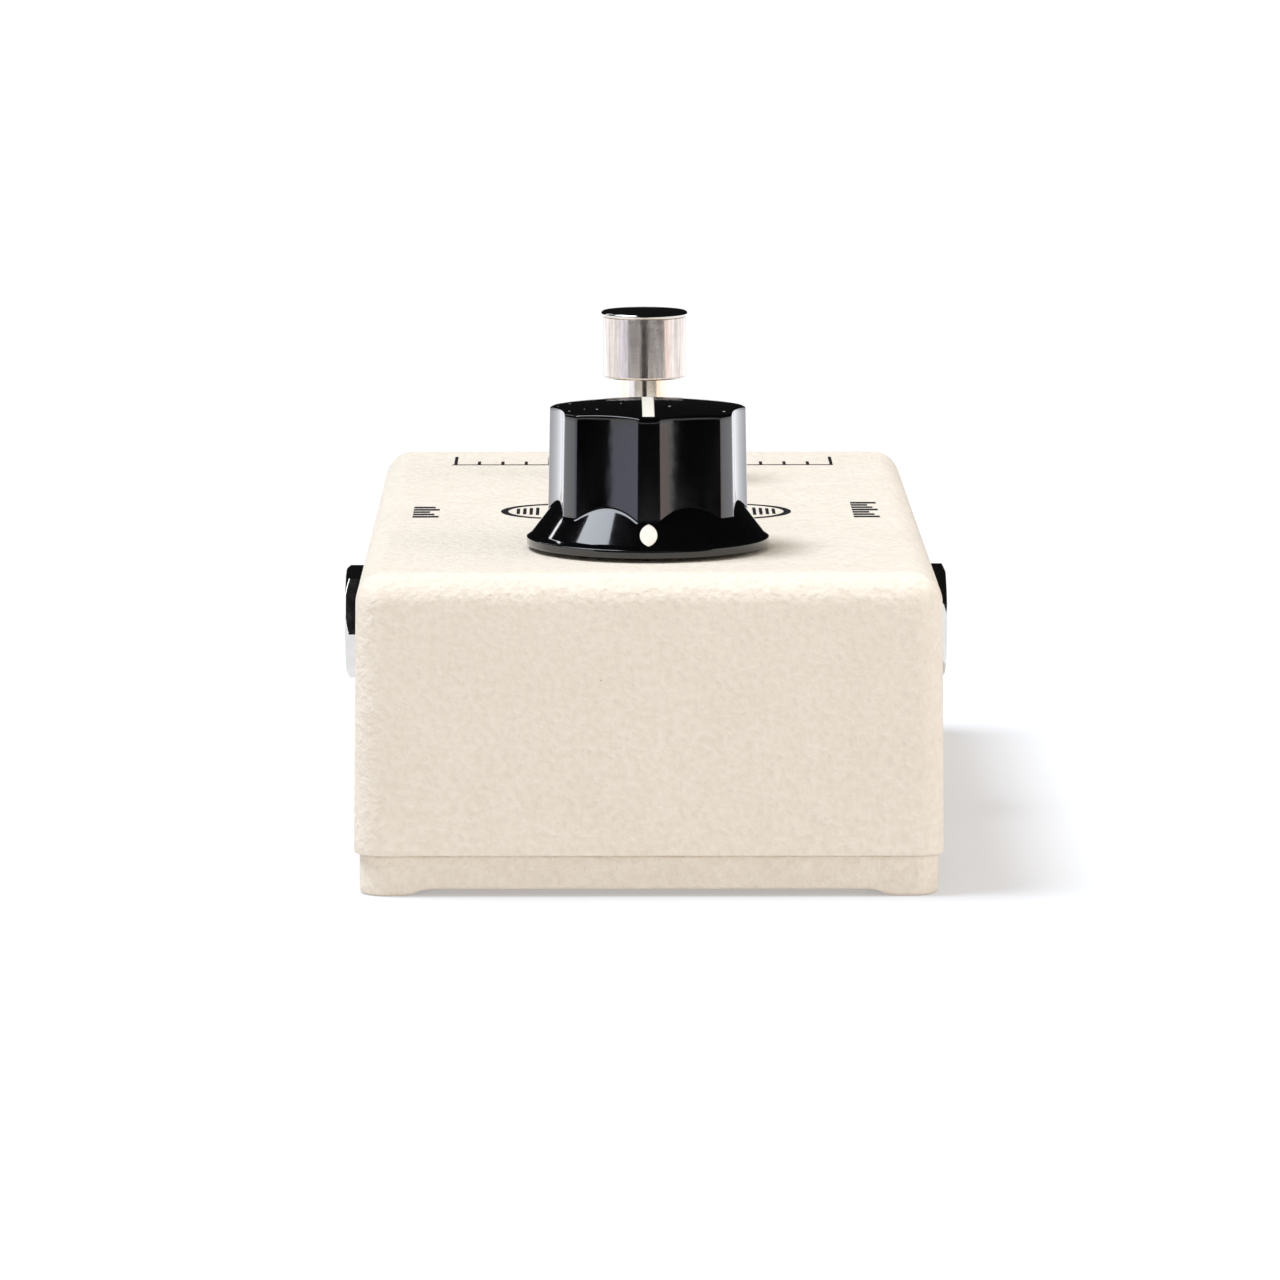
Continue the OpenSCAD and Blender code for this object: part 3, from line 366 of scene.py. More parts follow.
def build_shell():
    shell = add_object("shell", *box_skin(0, SEAM_Z, TOP_Z, CORNER_R, EDGE_R, LIP_R))
    waver(shell, PAINT_LUMP, LUMP_SIZE)
    roof = TOP_Z - TOP_T
    inside = box_skin(WALL_T, SEAM_Z - 1, roof, CORNER_R - 1, CAVITY_EDGE_R, CAVITY_LIP_R)
    cavity = add_object("cavity", *inside)
    carve(cavity, *[rod(POST_R, SEAM_Z + POST_RISE, TOP_Z + 5, p) for p in POSTS])
    through_top = (roof - 1, TOP_Z + 5)
    through_side = (CASE_HALF_X - 5, CASE_HALF_X + 2)
    holes = [rod(SCREW_HOLE_R, 0, SCREW_HOLE_TOP, p, sides=32) for p in POSTS]
    holes += [rod(KNOB_HOLE_R, *through_top, (0, KNOB_Y))]
    holes += [rod(SWITCH_HOLE_R, *through_top, (0, SWITCH_Y))]
    holes += [rod(JACK_HOLE_R, *through_side, (JACK_Y, JACK_Z), side) for side in (-1, 1)]
    holes += [rod(POWER_HOLE_R, *through_side, (POWER_Y, JACK_Z), -1)]
    carve(shell, cavity, *holes)
    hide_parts("enclosure_shell")
    return shell


# ---------- base plate ----------

FOOT_X = 5.9
FOOT_Y = 9.0
FOOT_H = 0.69
FOOT_BLEND = 2.4
PLATE_FLOOR = 2.2
PLATE_CORNER_R = CORNER_R - 0.3
PLATE_EDGE_R = 0.45
PLATE_RIM_R = 0.2
ROW_GAP = 0.25
LIP_GAP = 0.3
LIP_T = 1.3
LIP_CORNER_R = CORNER_R - 1.2
LIP_INNER_R = 1
LIP_EDGE = 0.2
WELL_GAP = 0.1
HEAD_Z = 0.8
HEAD_R = 2.8
HEAD_RIM = 0.3
HEAD_END = 1.65
SCREW_END = 12.0
SCREW_TIP = 0.3
RECESS_L = 3.3
RECESS_W = 0.62
RECESS_DEPTH = 1.1
RECESS_TAPER = 0.6
SCREW_TURNS = (17, 48, 79, 110)


def plate_underside(x, y):
    """Height of the plate's underside: four corner feet with a shallow recess between them."""
    from_x = (plate_high[0] - FOOT_X - np.abs(x)) / FOOT_BLEND
    from_y = (plate_high[1] - FOOT_Y - np.abs(y)) / FOOT_BLEND
    return FOOT_H * np.maximum(smooth_step(from_x + 0.5), smooth_step(from_y + 0.5))


def build_plate():
    half_x, half_y, top = plate_high
    floor_z = FOOT_H + PLATE_FLOOR
    lip_x, lip_y = CASE_HALF_X - WALL_T - LIP_GAP, CASE_HALF_Y - WALL_T - LIP_GAP
    in_x, in_y = lip_x - LIP_T, lip_y - LIP_T
    rows = [(0, PLATE_EDGE_R + d) for d in np.linspace(half_x - 0.5, 0, 34)]
    rows += [(PLATE_EDGE_R * up, PLATE_EDGE_R * across) for across, up in quarter(6)[1:]]
    rows += [(z, 0) for z in np.linspace(PLATE_EDGE_R + ROW_GAP, SEAM_Z - ROW_GAP, 6)]
    rows += [(SEAM_Z - PLATE_RIM_R * s, PLATE_RIM_R * c) for s, c in quarter(5)[1:]]
    rings = [box_ring(half_x, half_y, PLATE_CORNER_R, z, inset) for z, inset in rows]
    for z, inset in ((SEAM_Z, 0), (top - LIP_EDGE, 0), (top, LIP_EDGE)):
        rings.append(box_ring(lip_x, lip_y, LIP_CORNER_R, z, inset))
    for z, inset in ((top, -LIP_EDGE), (top - LIP_EDGE, 0), (floor_z, 0)):
        rings.append(box_ring(in_x, in_y, LIP_INNER_R, z, inset))
    rings = np.array(rings)
    rise = plate_underside(rings[..., 0], rings[..., 1])
    fade_z = SEAM_Z - 1
    rings[..., 2] += rise * np.clip((fade_z - rings[..., 2]) / fade_z, 0, 1)
    verts, faces = skin(rings, (0, 0, FOOT_H), (0, 0, floor_z))
    plate = add_object("bottom_plate", verts, faces)
    waver(plate, PAINT_LUMP, LUMP_SIZE)
    well_r, hole_r = HEAD_R + WELL_GAP, SCREW_HOLE_R + WELL_GAP
    well = [(0, -1), (well_r, -1), (well_r, HEAD_Z + HEAD_RIM)]
    well += [(hole_r, HEAD_Z + HEAD_END), (hole_r, 9), (0, 9)]
    cutters = []
    for p in POSTS:
        cutters.append(rod(POST_R + LIP_GAP, SEAM_Z, top + 1, p))
        cutters.append(piece_at("cutter", turn_profile(well, 48), (*p, 0)))
    carve(plate, *cutters)
    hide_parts("base_plate")
    return plate


def build_screws():
    """Four countersunk screws with cross recesses, seen on the underside."""
    corners = [(0, HEAD_Z + 0.05, 0), (HEAD_R - 0.15, HEAD_Z, 0.1), (HEAD_R, HEAD_Z + 0.15, 0.1)]
    corners += [(HEAD_R, HEAD_Z + HEAD_RIM, 0.05), (SCREW_R, HEAD_Z + HEAD_END, 0.1)]
    corners += [(SCREW_R, SCREW_END, 0.1), (SCREW_R - 0.4, SCREW_END + SCREW_TIP, 0.1)]
    corners += [(0, SCREW_END + SCREW_TIP, 0)]
    screw = piece_at("base_screw_set", turn_profile(rounded(corners, 3, False), 64))
    for turn in (0, 90):
        carve(screw, recess_cutter(HEAD_Z - 1, HEAD_Z + RECESS_DEPTH, turn), sharp_deg=25)
    verts = np.array([v.co for v in screw.data.vertices]) / MM
    faces = [list(f.vertices) for f in screw.data.polygons]
    all_verts, all_faces = [], []
    for (x, y), turn in zip(POSTS, SCREW_TURNS):
        first = len(all_verts)
        all_verts += placed(verts, (x, y, 0), 0, turn).tolist()
        all_faces += [[first + v for v in f] for f in faces]
    bpy.data.meshes.remove(screw.data)
    screws = add_object("base_screw_set", all_verts, all_faces, 25)
    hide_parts("base_screws")
    return screws


def recess_cutter(low, high, turn_deg):
    """One arm of a cross recess: a slab that narrows towards its top."""
    verts = []
    for z, grow in ((low, 1), (high, RECESS_TAPER)):
        for x, y in ((-1, -1), (1, -1), (1, 1), (-1, 1)):
            verts.append((x * RECESS_L / 2 * grow, y * RECESS_W / 2 * grow, z))
    return add_object("cutter", placed(verts, turn_deg=turn_deg), PRISM)


# ---------- knob ----------

FLUTES = 7
FLUTE_SAMPLES = 96
FLUTE_DEPTH = 1.0
FLUTE_R = 17.0
FLUTE_BITE = 0.1
FLUTE_DRAFT = 0.1
LAND_FOOT_R = 10.55
LAND_CROWN_R = 10.35
LAND_BLEND = 0.14
FILLET_R = 0.16
KNOB_SHOULDER = 14.7
DOME_RISE = 0.7
DOME_R = (LAND_CROWN_R**2 + DOME_RISE**2) / (2 * DOME_RISE)
KNOB_GAP = 0.45
RIM_H = 0.85
RIM_TOP = KNOB_GAP + RIM_H
CONE_Z = 3.82
CONE_R = SKIRT_R - 0.2
CONE_SLOPE = (CONE_Z - KNOB_GAP - RIM_H) / (CONE_R - LAND_FOOT_R)
CONE_BLEND = 0.12
CLOSE_ROWS_TOP = 7.4
CAVITY_R = 8.4
POINTER_W = 1.28
POINTER_FRONT = -9.45
POINTER_BACK = 8.25
INLAY_T = 0.22
INLAY_GAP = 0.004
INLAY_GROW = 0.02
DOT_T = 0.3
DOT_HALF_W = 0.91
DOT_HALF_L = 1.35
DOT_Z = 2.75
SET_SCREW_Z = 8.6
SET_SCREW_R = 1.55
KNOB_PLACE = (0, KNOB_Y, TOP_Z)


def flute_outline(angle, land_r, shift):
    """Radius of the knob's fluted outline, and how much of a land each angle is."""
    pitch = 2 * math.pi / FLUTES
    first = -math.pi / 2 + pitch / 2
    off = (angle - first + pitch / 2) % pitch - pitch / 2
    centre = LAND_FOOT_R - FLUTE_BITE - FLUTE_DEPTH + FLUTE_R + shift
    hollow = centre * np.cos(off) - np.sqrt(FLUTE_R**2 - (centre * np.sin(off)) ** 2)
    landness = np.clip((hollow - land_r) / 0.3 + 0.5, 0, 1)
    return soft_min(land_r, hollow, LAND_BLEND), landness


def dome_z(radius):
    return KNOB_SHOULDER + DOME_RISE - DOME_R + np.sqrt(DOME_R**2 - radius**2)


def build_knob():
    angles = circle(FLUTES * FLUTE_SAMPLES)
    bore_top = insert_high[2] - TOP_Z
    cavity_top = insert_low[2] - TOP_Z
    corners = [(INSERT_R, bore_top, 0), (INSERT_R, cavity_top, 0.15)]
    corners += [(CAVITY_R, cavity_top, 0.3), (CAVITY_R, KNOB_GAP, 0.2)]
    corners += [(SKIRT_R, KNOB_GAP, 0.16), (SKIRT_R, RIM_TOP, 0.14)]
    corners += [(CONE_R - 0.3, RIM_TOP + 0.3 * CONE_SLOPE, 0)]
    rim = rounded(corners, 4, False)
    rings = [ring_of(r, z, angles) for r, z in rim]
    land_low = CONE_Z - 0.5
    spans = [(rim[-1][1] + 0.1, CONE_Z, 14), (CONE_Z, CLOSE_ROWS_TOP, 34)]
    spans += [(CLOSE_ROWS_TOP, KNOB_SHOULDER - 0.6, 12)]
    heights = [rim[-1][1] + 0.1]
    for span in spans:
        heights += list(np.linspace(*span)[1:])
    for z in heights:
        taper = np.clip((z - land_low) / (KNOB_SHOULDER - land_low), 0, 1)
        land = LAND_FOOT_R + (LAND_CROWN_R - LAND_FOOT_R) * taper
        body, _ = flute_outline(angles, land, FLUTE_DRAFT * (1 - 2 * taper))
        cone = CONE_R - (z - KNOB_GAP - RIM_H) / CONE_SLOPE
        rings.append(ring_of(soft_max(body, cone, CONE_BLEND), z, angles))
    edge, landness = flute_outline(angles, LAND_CROWN_R, -FLUTE_DRAFT)
    fillet = FILLET_R + FILLET_R * landness
    crest = dome_z(edge - fillet)
    for down, inset in quarter(7):
        rings.append(ring_of(edge - fillet * inset, crest - fillet * down, angles))
    for share in np.linspace(1, 0.04, 26)[1:]:
        rings.append(ring_of((edge - fillet) * share, dome_z((edge - fillet) * share), angles))
    form = skin(rings, (0, 0, bore_top), (0, 0, KNOB_SHOULDER + DOME_RISE))
    knob = piece_at("knob", form, KNOB_PLACE, sharp_deg=40)
    carve(
        knob,
        pointer_piece("cutter", POINTER_W / 2, INLAY_T, 1.0, 0),
        dot_piece("cutter", 0, DOT_T, 0.6),
        rod_along_y(SET_SCREW_R, INSERT_R - 0.5, SKIRT_R + 3, SET_SCREW_Z),
        sharp_deg=40,
    )
    matte_rim(knob)
    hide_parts("knob_body")
    half_w = POINTER_W / 2 - INLAY_GAP
    line = pointer_piece("knob_line", half_w, INLAY_T + INLAY_GROW, -0.012, 0.05)
    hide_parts("knob_pointer_line")
    dot = dot_piece("knob_dot", INLAY_GAP, DOT_T + INLAY_GROW, -0.01)
    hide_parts("knob_skirt_dot")
    return knob, line, dot


def matte_rim(knob):
    """The upright rim of the skirt takes the knob's second material, which is matte."""
    low, high = TOP_Z + KNOB_GAP, TOP_Z + RIM_TOP
    for face in knob.data.polygons:
        centre = face.center / MM
        radius = math.hypot(centre.x, centre.y - KNOB_Y)
        face.material_index = int(radius > SKIRT_R - 0.06 and low < centre.z < high)


def pointer_piece(name, half_w, depth, rise, edge):
    """A strip that follows the dome, from depth below it to rise above it."""
    section = [(-half_w, -depth), (half_w, -depth)]
    section += [(half_w, rise - edge), (half_w - edge, rise), (edge - half_w, rise)]
    section += [(-half_w, rise - edge)]
    if not edge:
        section = [section[0], section[1], section[3], section[4]]
    rings = []
    for y in np.linspace(POINTER_FRONT, POINTER_BACK, 48):
        rings.append([(x, y, dome_z(math.hypot(x, y)) + h) for x, h in section])
    ends = [(0, y, dome_z(abs(y)) + (rise - depth) / 2) for y in (POINTER_FRONT, POINTER_BACK)]
    return piece_at(name, skin(rings, *ends), KNOB_PLACE)


def dot_piece(name, shrink, depth, rise):
    """A lens-shaped plug square to the skirt's cone, below the pointer."""
    cone_r = CONE_R - (DOT_Z - KNOB_GAP - RIM_H) / CONE_SLOPE
    arc_r = (DOT_HALF_W**2 + DOT_HALF_L**2) / (2 * DOT_HALF_W)
    swing = math.asin(DOT_HALF_L / arc_r)
    outline = []
    for side in (1, -1):
        for angle in np.linspace(-swing, swing, 19)[:-1]:
            x = arc_r * math.cos(angle) - arc_r + DOT_HALF_W
            outline.append((side * x, side * arc_r * math.sin(angle)))
    outline = np.array(outline)
    outline *= 1 - shrink / DOT_HALF_W
    rings = [
        np.column_stack([outline * scale, np.full(len(outline), z)])
        for scale, z in ((1, -depth), (1, rise - 0.03), (0.95, rise))
    ]
    verts, faces = skin(rings, (0, 0, -depth), (0, 0, rise))
    tilt = Matrix.Rotation(math.pi / 2 - math.atan(1 / CONE_SLOPE), 3, "X")
    verts = np.asarray(verts) @ np.array(tilt).T
    return add_object(name, placed(verts, (0, KNOB_Y - cone_r, TOP_Z + DOT_Z)), faces)


def rod_along_y(radius, low, high, height):
    verts, faces = turn_profile([(0, low), (radius, low), (radius, high), (0, high)], 48)
    verts = np.asarray(verts)[:, [0, 2, 1]]
    return add_object("cutter", placed(verts, (0, KNOB_Y, TOP_Z + height)), faces)


# ---------- nuts, bushings and washers ----------

SQRT3 = math.sqrt(3)
NUT_SAMPLES = 720
NUT_CORNER = 0.16
ROWS_PER_TURN = 8


def nut_mesh(across_corners, height, bore_r, turn_deg):
    """A hexagon nut with softened corners, a turned crown and a countersunk bore."""
    angles = circle(NUT_SAMPLES)
    flat_r = across_corners / 2 * SQRT3 / 2
    face_r = flat_r * 1.02
    off = np.abs((np.degrees(angles) - turn_deg) % 60 - 30)
    near = flat_r / np.cos(np.radians(off))
    far = flat_r / np.cos(np.radians(60 - off))
    lines = []
    for radius in soft_min(near, far, NUT_CORNER):
        crown_r = min(face_r, radius - 0.05)
        crown_z = height - (radius - crown_r) / SQRT3
        corners = [(bore_r, 0.05, 0.04), (bore_r + 0.2, 0, 0.04), (radius, 0, 0.12)]
        corners += [(radius, crown_z, 0.08), (crown_r, height, 0.1)]
        corners += [(bore_r + 0.5, height, 0.08), (bore_r, height - 0.5, 0.08)]
        lines.append(rounded(corners))
    rows = np.array(lines).transpose(1, 2, 0)
    return skin([ring_of(radius, z, angles) for radius, z in rows])


def thread_mesh(radius, bore_r, low, high, pitch, depth):
    """A threaded tube with chamfered ends."""
    angles = circle(96)
    rings = []
    for z in np.arange(low, high + TINY, pitch / ROWS_PER_TURN):
        phase = z / pitch - angles / (2 * math.pi)
        groove = depth * (0.5 - 0.5 * np.cos(2 * math.pi * phase)) ** 0.8
        chamfer = max(0, 0.5 - min(z - low, high - z))
        rings.append(ring_of(np.minimum(radius - groove, radius - chamfer), z, angles))
    top = rings[-1][0][2]
    cover = top + 0.001
    corners = [(radius - 0.6, cover, 0), (bore_r + 0.3, cover, 0), (bore_r, top - 0.3, 0.08)]
    corners += [(bore_r, low + 0.3, 0.08), (bore_r + 0.3, low, 0)]
    rings += [ring_of(r, z, angles) for r, z in rounded(corners, 4, False)]
    return skin(rings)


def tube_corners(r_out, r_in, low, high, edge):
    return [(r_in, low, edge), (r_out, low, edge), (r_out, high, edge), (r_in, high, edge)]


# ---------- footswitch ----------

PLUNGER_R = 2.875
PLUNGER_STEM_R = 1.2
PLUNGER_IN_CAP = 4.9
FRAME_T = 0.8
FLANGE_GAP = 0.3
BEAD_H = 0.62
CAP_BODY_R = CAP_R - 0.22
CAP_DISH = 0.1
BORE_DEPTH = 5
BUSHING_PITCH = 0.75
BUSHING_THREAD = 0.32
TOP_NUT_W = 16.17
TOP_NUT_BORE_R = 5.98
SPRING_TURNS = 4
SPRING_R = 3.7
SPRING_WIRE_R = 0.4
SPRING_GAP = 0.02
SWITCH_PLACE = (0, SWITCH_Y, 0)


def build_cap():
    low, high = cap_low[2], cap_high[2]
    bead_low, bead_r = high - BEAD_H - CAP_DISH, BEAD_H / 2
    crown_r = CAP_R - bead_r
    bore_r = PLUNGER_R + 0.02
    corners = [(bore_r, low + BORE_DEPTH, 0), (bore_r, low, 0.15), (CAP_BODY_R, low, 0.32)]
    corners += [(CAP_BODY_R, bead_low, 0.06), (crown_r, bead_low, 0)]
    line = [(0, low + BORE_DEPTH), *rounded(corners, 6, False)]
    for angle in np.linspace(-math.pi / 2, math.pi / 2, 17)[1:]:
        out, up = math.cos(angle), 1 + math.sin(angle)
        line.append((crown_r + bead_r * out, bead_low + bead_r * up))
    for share in np.linspace(1, 0, 18)[1:]:
        line.append((crown_r * share, high - CAP_DISH * share**2))
    return piece_at("footswitch_cap", turn_profile(line, 128), SWITCH_PLACE, node="switch_cap")


def build_plunger():
    plunger_low, plunger_high = box("switch_plunger")
    low, high = plunger_low[2], cap_low[2] + PLUNGER_IN_CAP
    flange_r = plunger_high[0]
    foot = box("switch_frame")[1][2] - FRAME_T - FLANGE_GAP
    corners = [(0, low, 0), (PLUNGER_STEM_R, low, 0.4), (PLUNGER_STEM_R, foot - 3, 0.1)]
    corners += [(PLUNGER_R, foot - 3, 0.3), (PLUNGER_R, foot - 1, 0.05)]
    corners += [(flange_r, foot - 1, 0.12), (flange_r, foot, 0.12), (PLUNGER_R, foot, 0.1)]
    corners += [(PLUNGER_R, high, 0.2), (0, high, 0)]
    name, node = "footswitch_plunger", "switch_plunger"
    return turned_part(name, node, corners, SWITCH_PLACE, loop=False)


def build_switch_collar():
    """Threaded bushing, top nut and washer of the footswitch."""
    low, high = box("switch_bushing")
    size = (high[0], PLUNGER_R + 0.05, low[2], high[2])
    thread = thread_mesh(*size, BUSHING_PITCH, BUSHING_THREAD)
    bushing = piece_at("footswitch_bushing", thread, SWITCH_PLACE, 0, 50, "switch_bushing")
    low, high = box("switch_top_nut")
    hexagon = nut_mesh(TOP_NUT_W, high[2] - low[2], TOP_NUT_BORE_R, 0)
    at = (0, SWITCH_Y, low[2])
    nut = piece_at("footswitch_nut", hexagon, at, 0, 40, "switch_top_nut")
    low, high = box("switch_washer")
    corners = tube_corners(high[0], SWITCH_HOLE_R, low[2], high[2], 0.12)
    washer = turned_part("footswitch_washer", "switch_washer", corners, SWITCH_PLACE)
    return bushing, nut, washer


def build_spring():
    """The return spring."""
    wire_r = SPRING_WIRE_R
    low, high = spring_low[2] + wire_r + SPRING_GAP, spring_high[2] - wire_r - SPRING_GAP
    ring_angles = circle(14)
    rings = []
    for t in np.linspace(0, 1, SPRING_TURNS * 48 + 1):
        turn = 2 * math.pi * SPRING_TURNS * t
        share = smooth_step(np.clip((t - 0.1) / 0.8, 0, 1)) * 0.35 + 0.65 * t
        out = SPRING_R + wire_r * np.cos(ring_angles)
        z = low + (high - low) * share + wire_r * np.sin(ring_angles)
        rings.append(np.column_stack([out * math.cos(turn), out * math.sin(turn), z]))
    coil = skin(rings, rings[0].mean(0), rings[-1].mean(0))
    return piece_at("footswitch_spring", coil, SWITCH_PLACE, 0, 60, "switch_spring")


# ---------- jacks ----------

NUT_TURN = {"input": 35.5, "output": 4}
JACK_NUT_W = 12.9
JACK_NUT_BORE_R = 4.53
JACK_BORE_R = 3.2
JACK_TUBE_R = 4.45
JACK_TIP_R = 4.15
JACK_FLANGE_T = 0.85
POWER_BODY_R = 4.0
POWER_MOUTH_R = 3.15
POWER_BORE_R = 2.85
POWER_RIM_T = 0.9
POWER_DEPTH = 10
PIN_R = 1.05
PIN_HOLE_R = 1.07


def build_jack(name, side):
    """The nut, washer and bushing of one audio jack."""
    at = (0, JACK_Y, JACK_Z)

    def reach(part):
        low, high = box(f"{name}_jack_{part}")
        near, far = sorted((abs(low[0]), abs(high[0])))
        return near, far, (high[1] - low[1]) / 2

    near, far, _ = reach("nut")
    hexagon = nut_mesh(JACK_NUT_W, far - near, JACK_NUT_BORE_R, NUT_TURN[name])
    on_wall = (side * near, JACK_Y, JACK_Z)
    nut = piece_at(f"{name}_nut", hexagon, on_wall, side, 40, f"{name}_jack_nut")
    near, far, radius = reach("washer")
    corners = tube_corners(radius, JACK_HOLE_R, near, far, 0.1)
    washer = turned_part(f"{name}_washer", f"{name}_jack_washer", corners, at, side)
    near, far, flange_r = reach("bushing")
    step = near + JACK_FLANGE_T
    corners = [(JACK_BORE_R, near, 0.1), (flange_r, near, 0.1), (flange_r, step, 0.1)]
    corners += [(JACK_TUBE_R, step, 0.05), (JACK_TUBE_R, far - 0.35, 0.1)]
    corners += [(JACK_TIP_R, far, 0.08), (JACK_BORE_R + 0.6, far, 0.12)]
    corners += [(JACK_BORE_R, far - 0.6, 0.15)]
    bushing = turned_part(f"{name}_bushing", f"{name}_jack_bushing", corners, at, side)
    return nut, washer, bushing


def build_power_jack():
    at = (0, POWER_Y, JACK_Z)
    face, rear = abs(power_low[0]), abs(power_high[0])
    rim_r, step = power_high[1] - POWER_Y, face - POWER_RIM_T
    floor = face - POWER_DEPTH
    corners = [(PIN_HOLE_R, rear, 0.05), (POWER_BODY_R, rear, 0.15), (POWER_BODY_R, step, 0.03)]
    corners += [(rim_r, step, 0.08), (rim_r, face, 0.22), (POWER_MOUTH_R, face, 0.1)]
    corners += [(POWER_BORE_R, face - 0.3, 0.1), (POWER_BORE_R, floor, 0.1)]
    corners += [(PIN_HOLE_R, floor, 0.05)]
    housing = turned_part("power_socket", "power_jack_housing", corners, at, -1)
    tip = abs(box("power_jack_pin")[0][0])
    corners = [(0, rear, 0), (PIN_R, rear, 0.1), (PIN_R, tip, 0.5), (0, tip, 0)]
    pin = turned_part("power_pin", "power_jack_pin", corners, at, -1, 64, 6, False)
    return housing, pin


# ---------- printed marks ----------

INK_T = 0.03
SIDE_BARS_X = 23.9
SIDE_BARS_Y = -8
SIDE_BAR_W = 1.15
FINE_LINE_W = 0.35
FRAME_Y = -3.4
FRAME_HALF_W = 15.8
FRAME_HALF_L = 6.6
FRAME_LINE_W = 0.8
OVAL_STEPS = 24
FRAME_LINES_X = 13.9
FRAME_BAR = (10.6, 5.6)
FRAME_BAR_W = 1.6
SCALE_Y = 39.3
SCALE_ENDS = (-22, 21.6)
SCALE_FIRST_X = -21.6
SCALE_STEP = 2.7
SCALE_TICKS = 17
SCALE_LINE_W = 0.45
LONG_TICK_Y = 47
SHORT_TICK_Y = 42.4


def stroke(start, end, width):
    """Four corners of a straight stroke with square ends."""
    a, b = np.array(start, float), np.array(end, float)
    along = (b - a) / np.linalg.norm(b - a)
    across = np.array([-along[1], along[0]]) * width / 2
    return [a - across, b - across, b + across, a + across]


def build_marks():
    """Plain printed bars beside the jacks, a framed group of bars and a scale."""
    shapes = []
    for side, bars in ((-1, 5), (1, 7)):
        x = side * SIDE_BARS_X
        for i in range(bars):
            y = 2 * i + SIDE_BARS_Y
            shapes.append(stroke((x - 1.4, y), (x + 1.4 - 0.5 * (i % 3), y), SIDE_BAR_W))
    for side in (-1, 1):
        for i in range(4):
            x = side * (FRAME_LINES_X - 0.7 * i)
            shapes.append(stroke((x, -5.6 - 0.3 * i), (x, -1.2 + 0.3 * i), FINE_LINE_W))
        start, end = (side * x for x in FRAME_BAR)
        shapes += [stroke((start, y), (end, y), FRAME_BAR_W) for y in (-5.0, -1.6)]
    shapes.append(stroke(*[(x, SCALE_Y) for x in SCALE_ENDS], SCALE_LINE_W))
    for i in range(SCALE_TICKS):
        x = SCALE_FIRST_X + SCALE_STEP * i
        tick_y = SHORT_TICK_Y if i % 4 else LONG_TICK_Y
        shapes.append(stroke((x, SCALE_Y), (x, tick_y), FINE_LINE_W))
    verts, faces = [], []
    low, high = TOP_Z - INK_T, TOP_Z + INK_T
    for shape in shapes:
        first = len(verts)
        verts += [(x, y, low) for x, y in shape] + [(x, y, high) for x, y in shape]
        faces += [[first + i for i in face] for face in PRISM]
    outer, inner = oval(0), oval(FRAME_LINE_W)
    section = ((inner, low), (outer, low), (outer, high), (inner, high))
    rings = [[(x, y + FRAME_Y, z) for x, y in line] for line, z in section]
    ring_verts, ring_faces = skin(rings)
    first = len(verts)
    verts += ring_verts
    faces += [[first + v for v in f] for f in ring_faces]
    return add_object("printed_marks", verts, faces)


def oval(inset):
    """Points round the frame of the printed group, drawn in by inset: straight with round ends."""
    radius = FRAME_HALF_L - inset
    line = []
    for heading, x in enumerate((1, -1, -1, 1)):
        centre = np.array([x * (FRAME_HALF_W - inset - radius), 0])
        for s in range(OVAL_STEPS):
            angle = math.pi / 2 * (heading + s / OVAL_STEPS)
            line.append(centre + radius * np.array([math.cos(angle), math.sin(angle)]))
    return line


# ---------- materials ----------


def feed(tree, target, value):
    """Links a socket to a node's output, or sets its value."""
    if isinstance(value, bpy.types.NodeSocket):
        tree.links.new(value, target)
    elif target.type == "RGBA":
        target.default_value = (*value, 1)
    else:
        target.default_value = value


def add_node(tree, kind, settings=None, **inputs):
    """A new node with its inputs fed, by name or, as i0, by number."""
    made = set_all(tree.nodes.new(kind), **(settings or {}))
    for key, value in inputs.items():
        numbered = key[0] == "i" and key[1:].isdigit()
        feed(tree, made.inputs[int(key[1:]) if numbered else key], value)
    return made


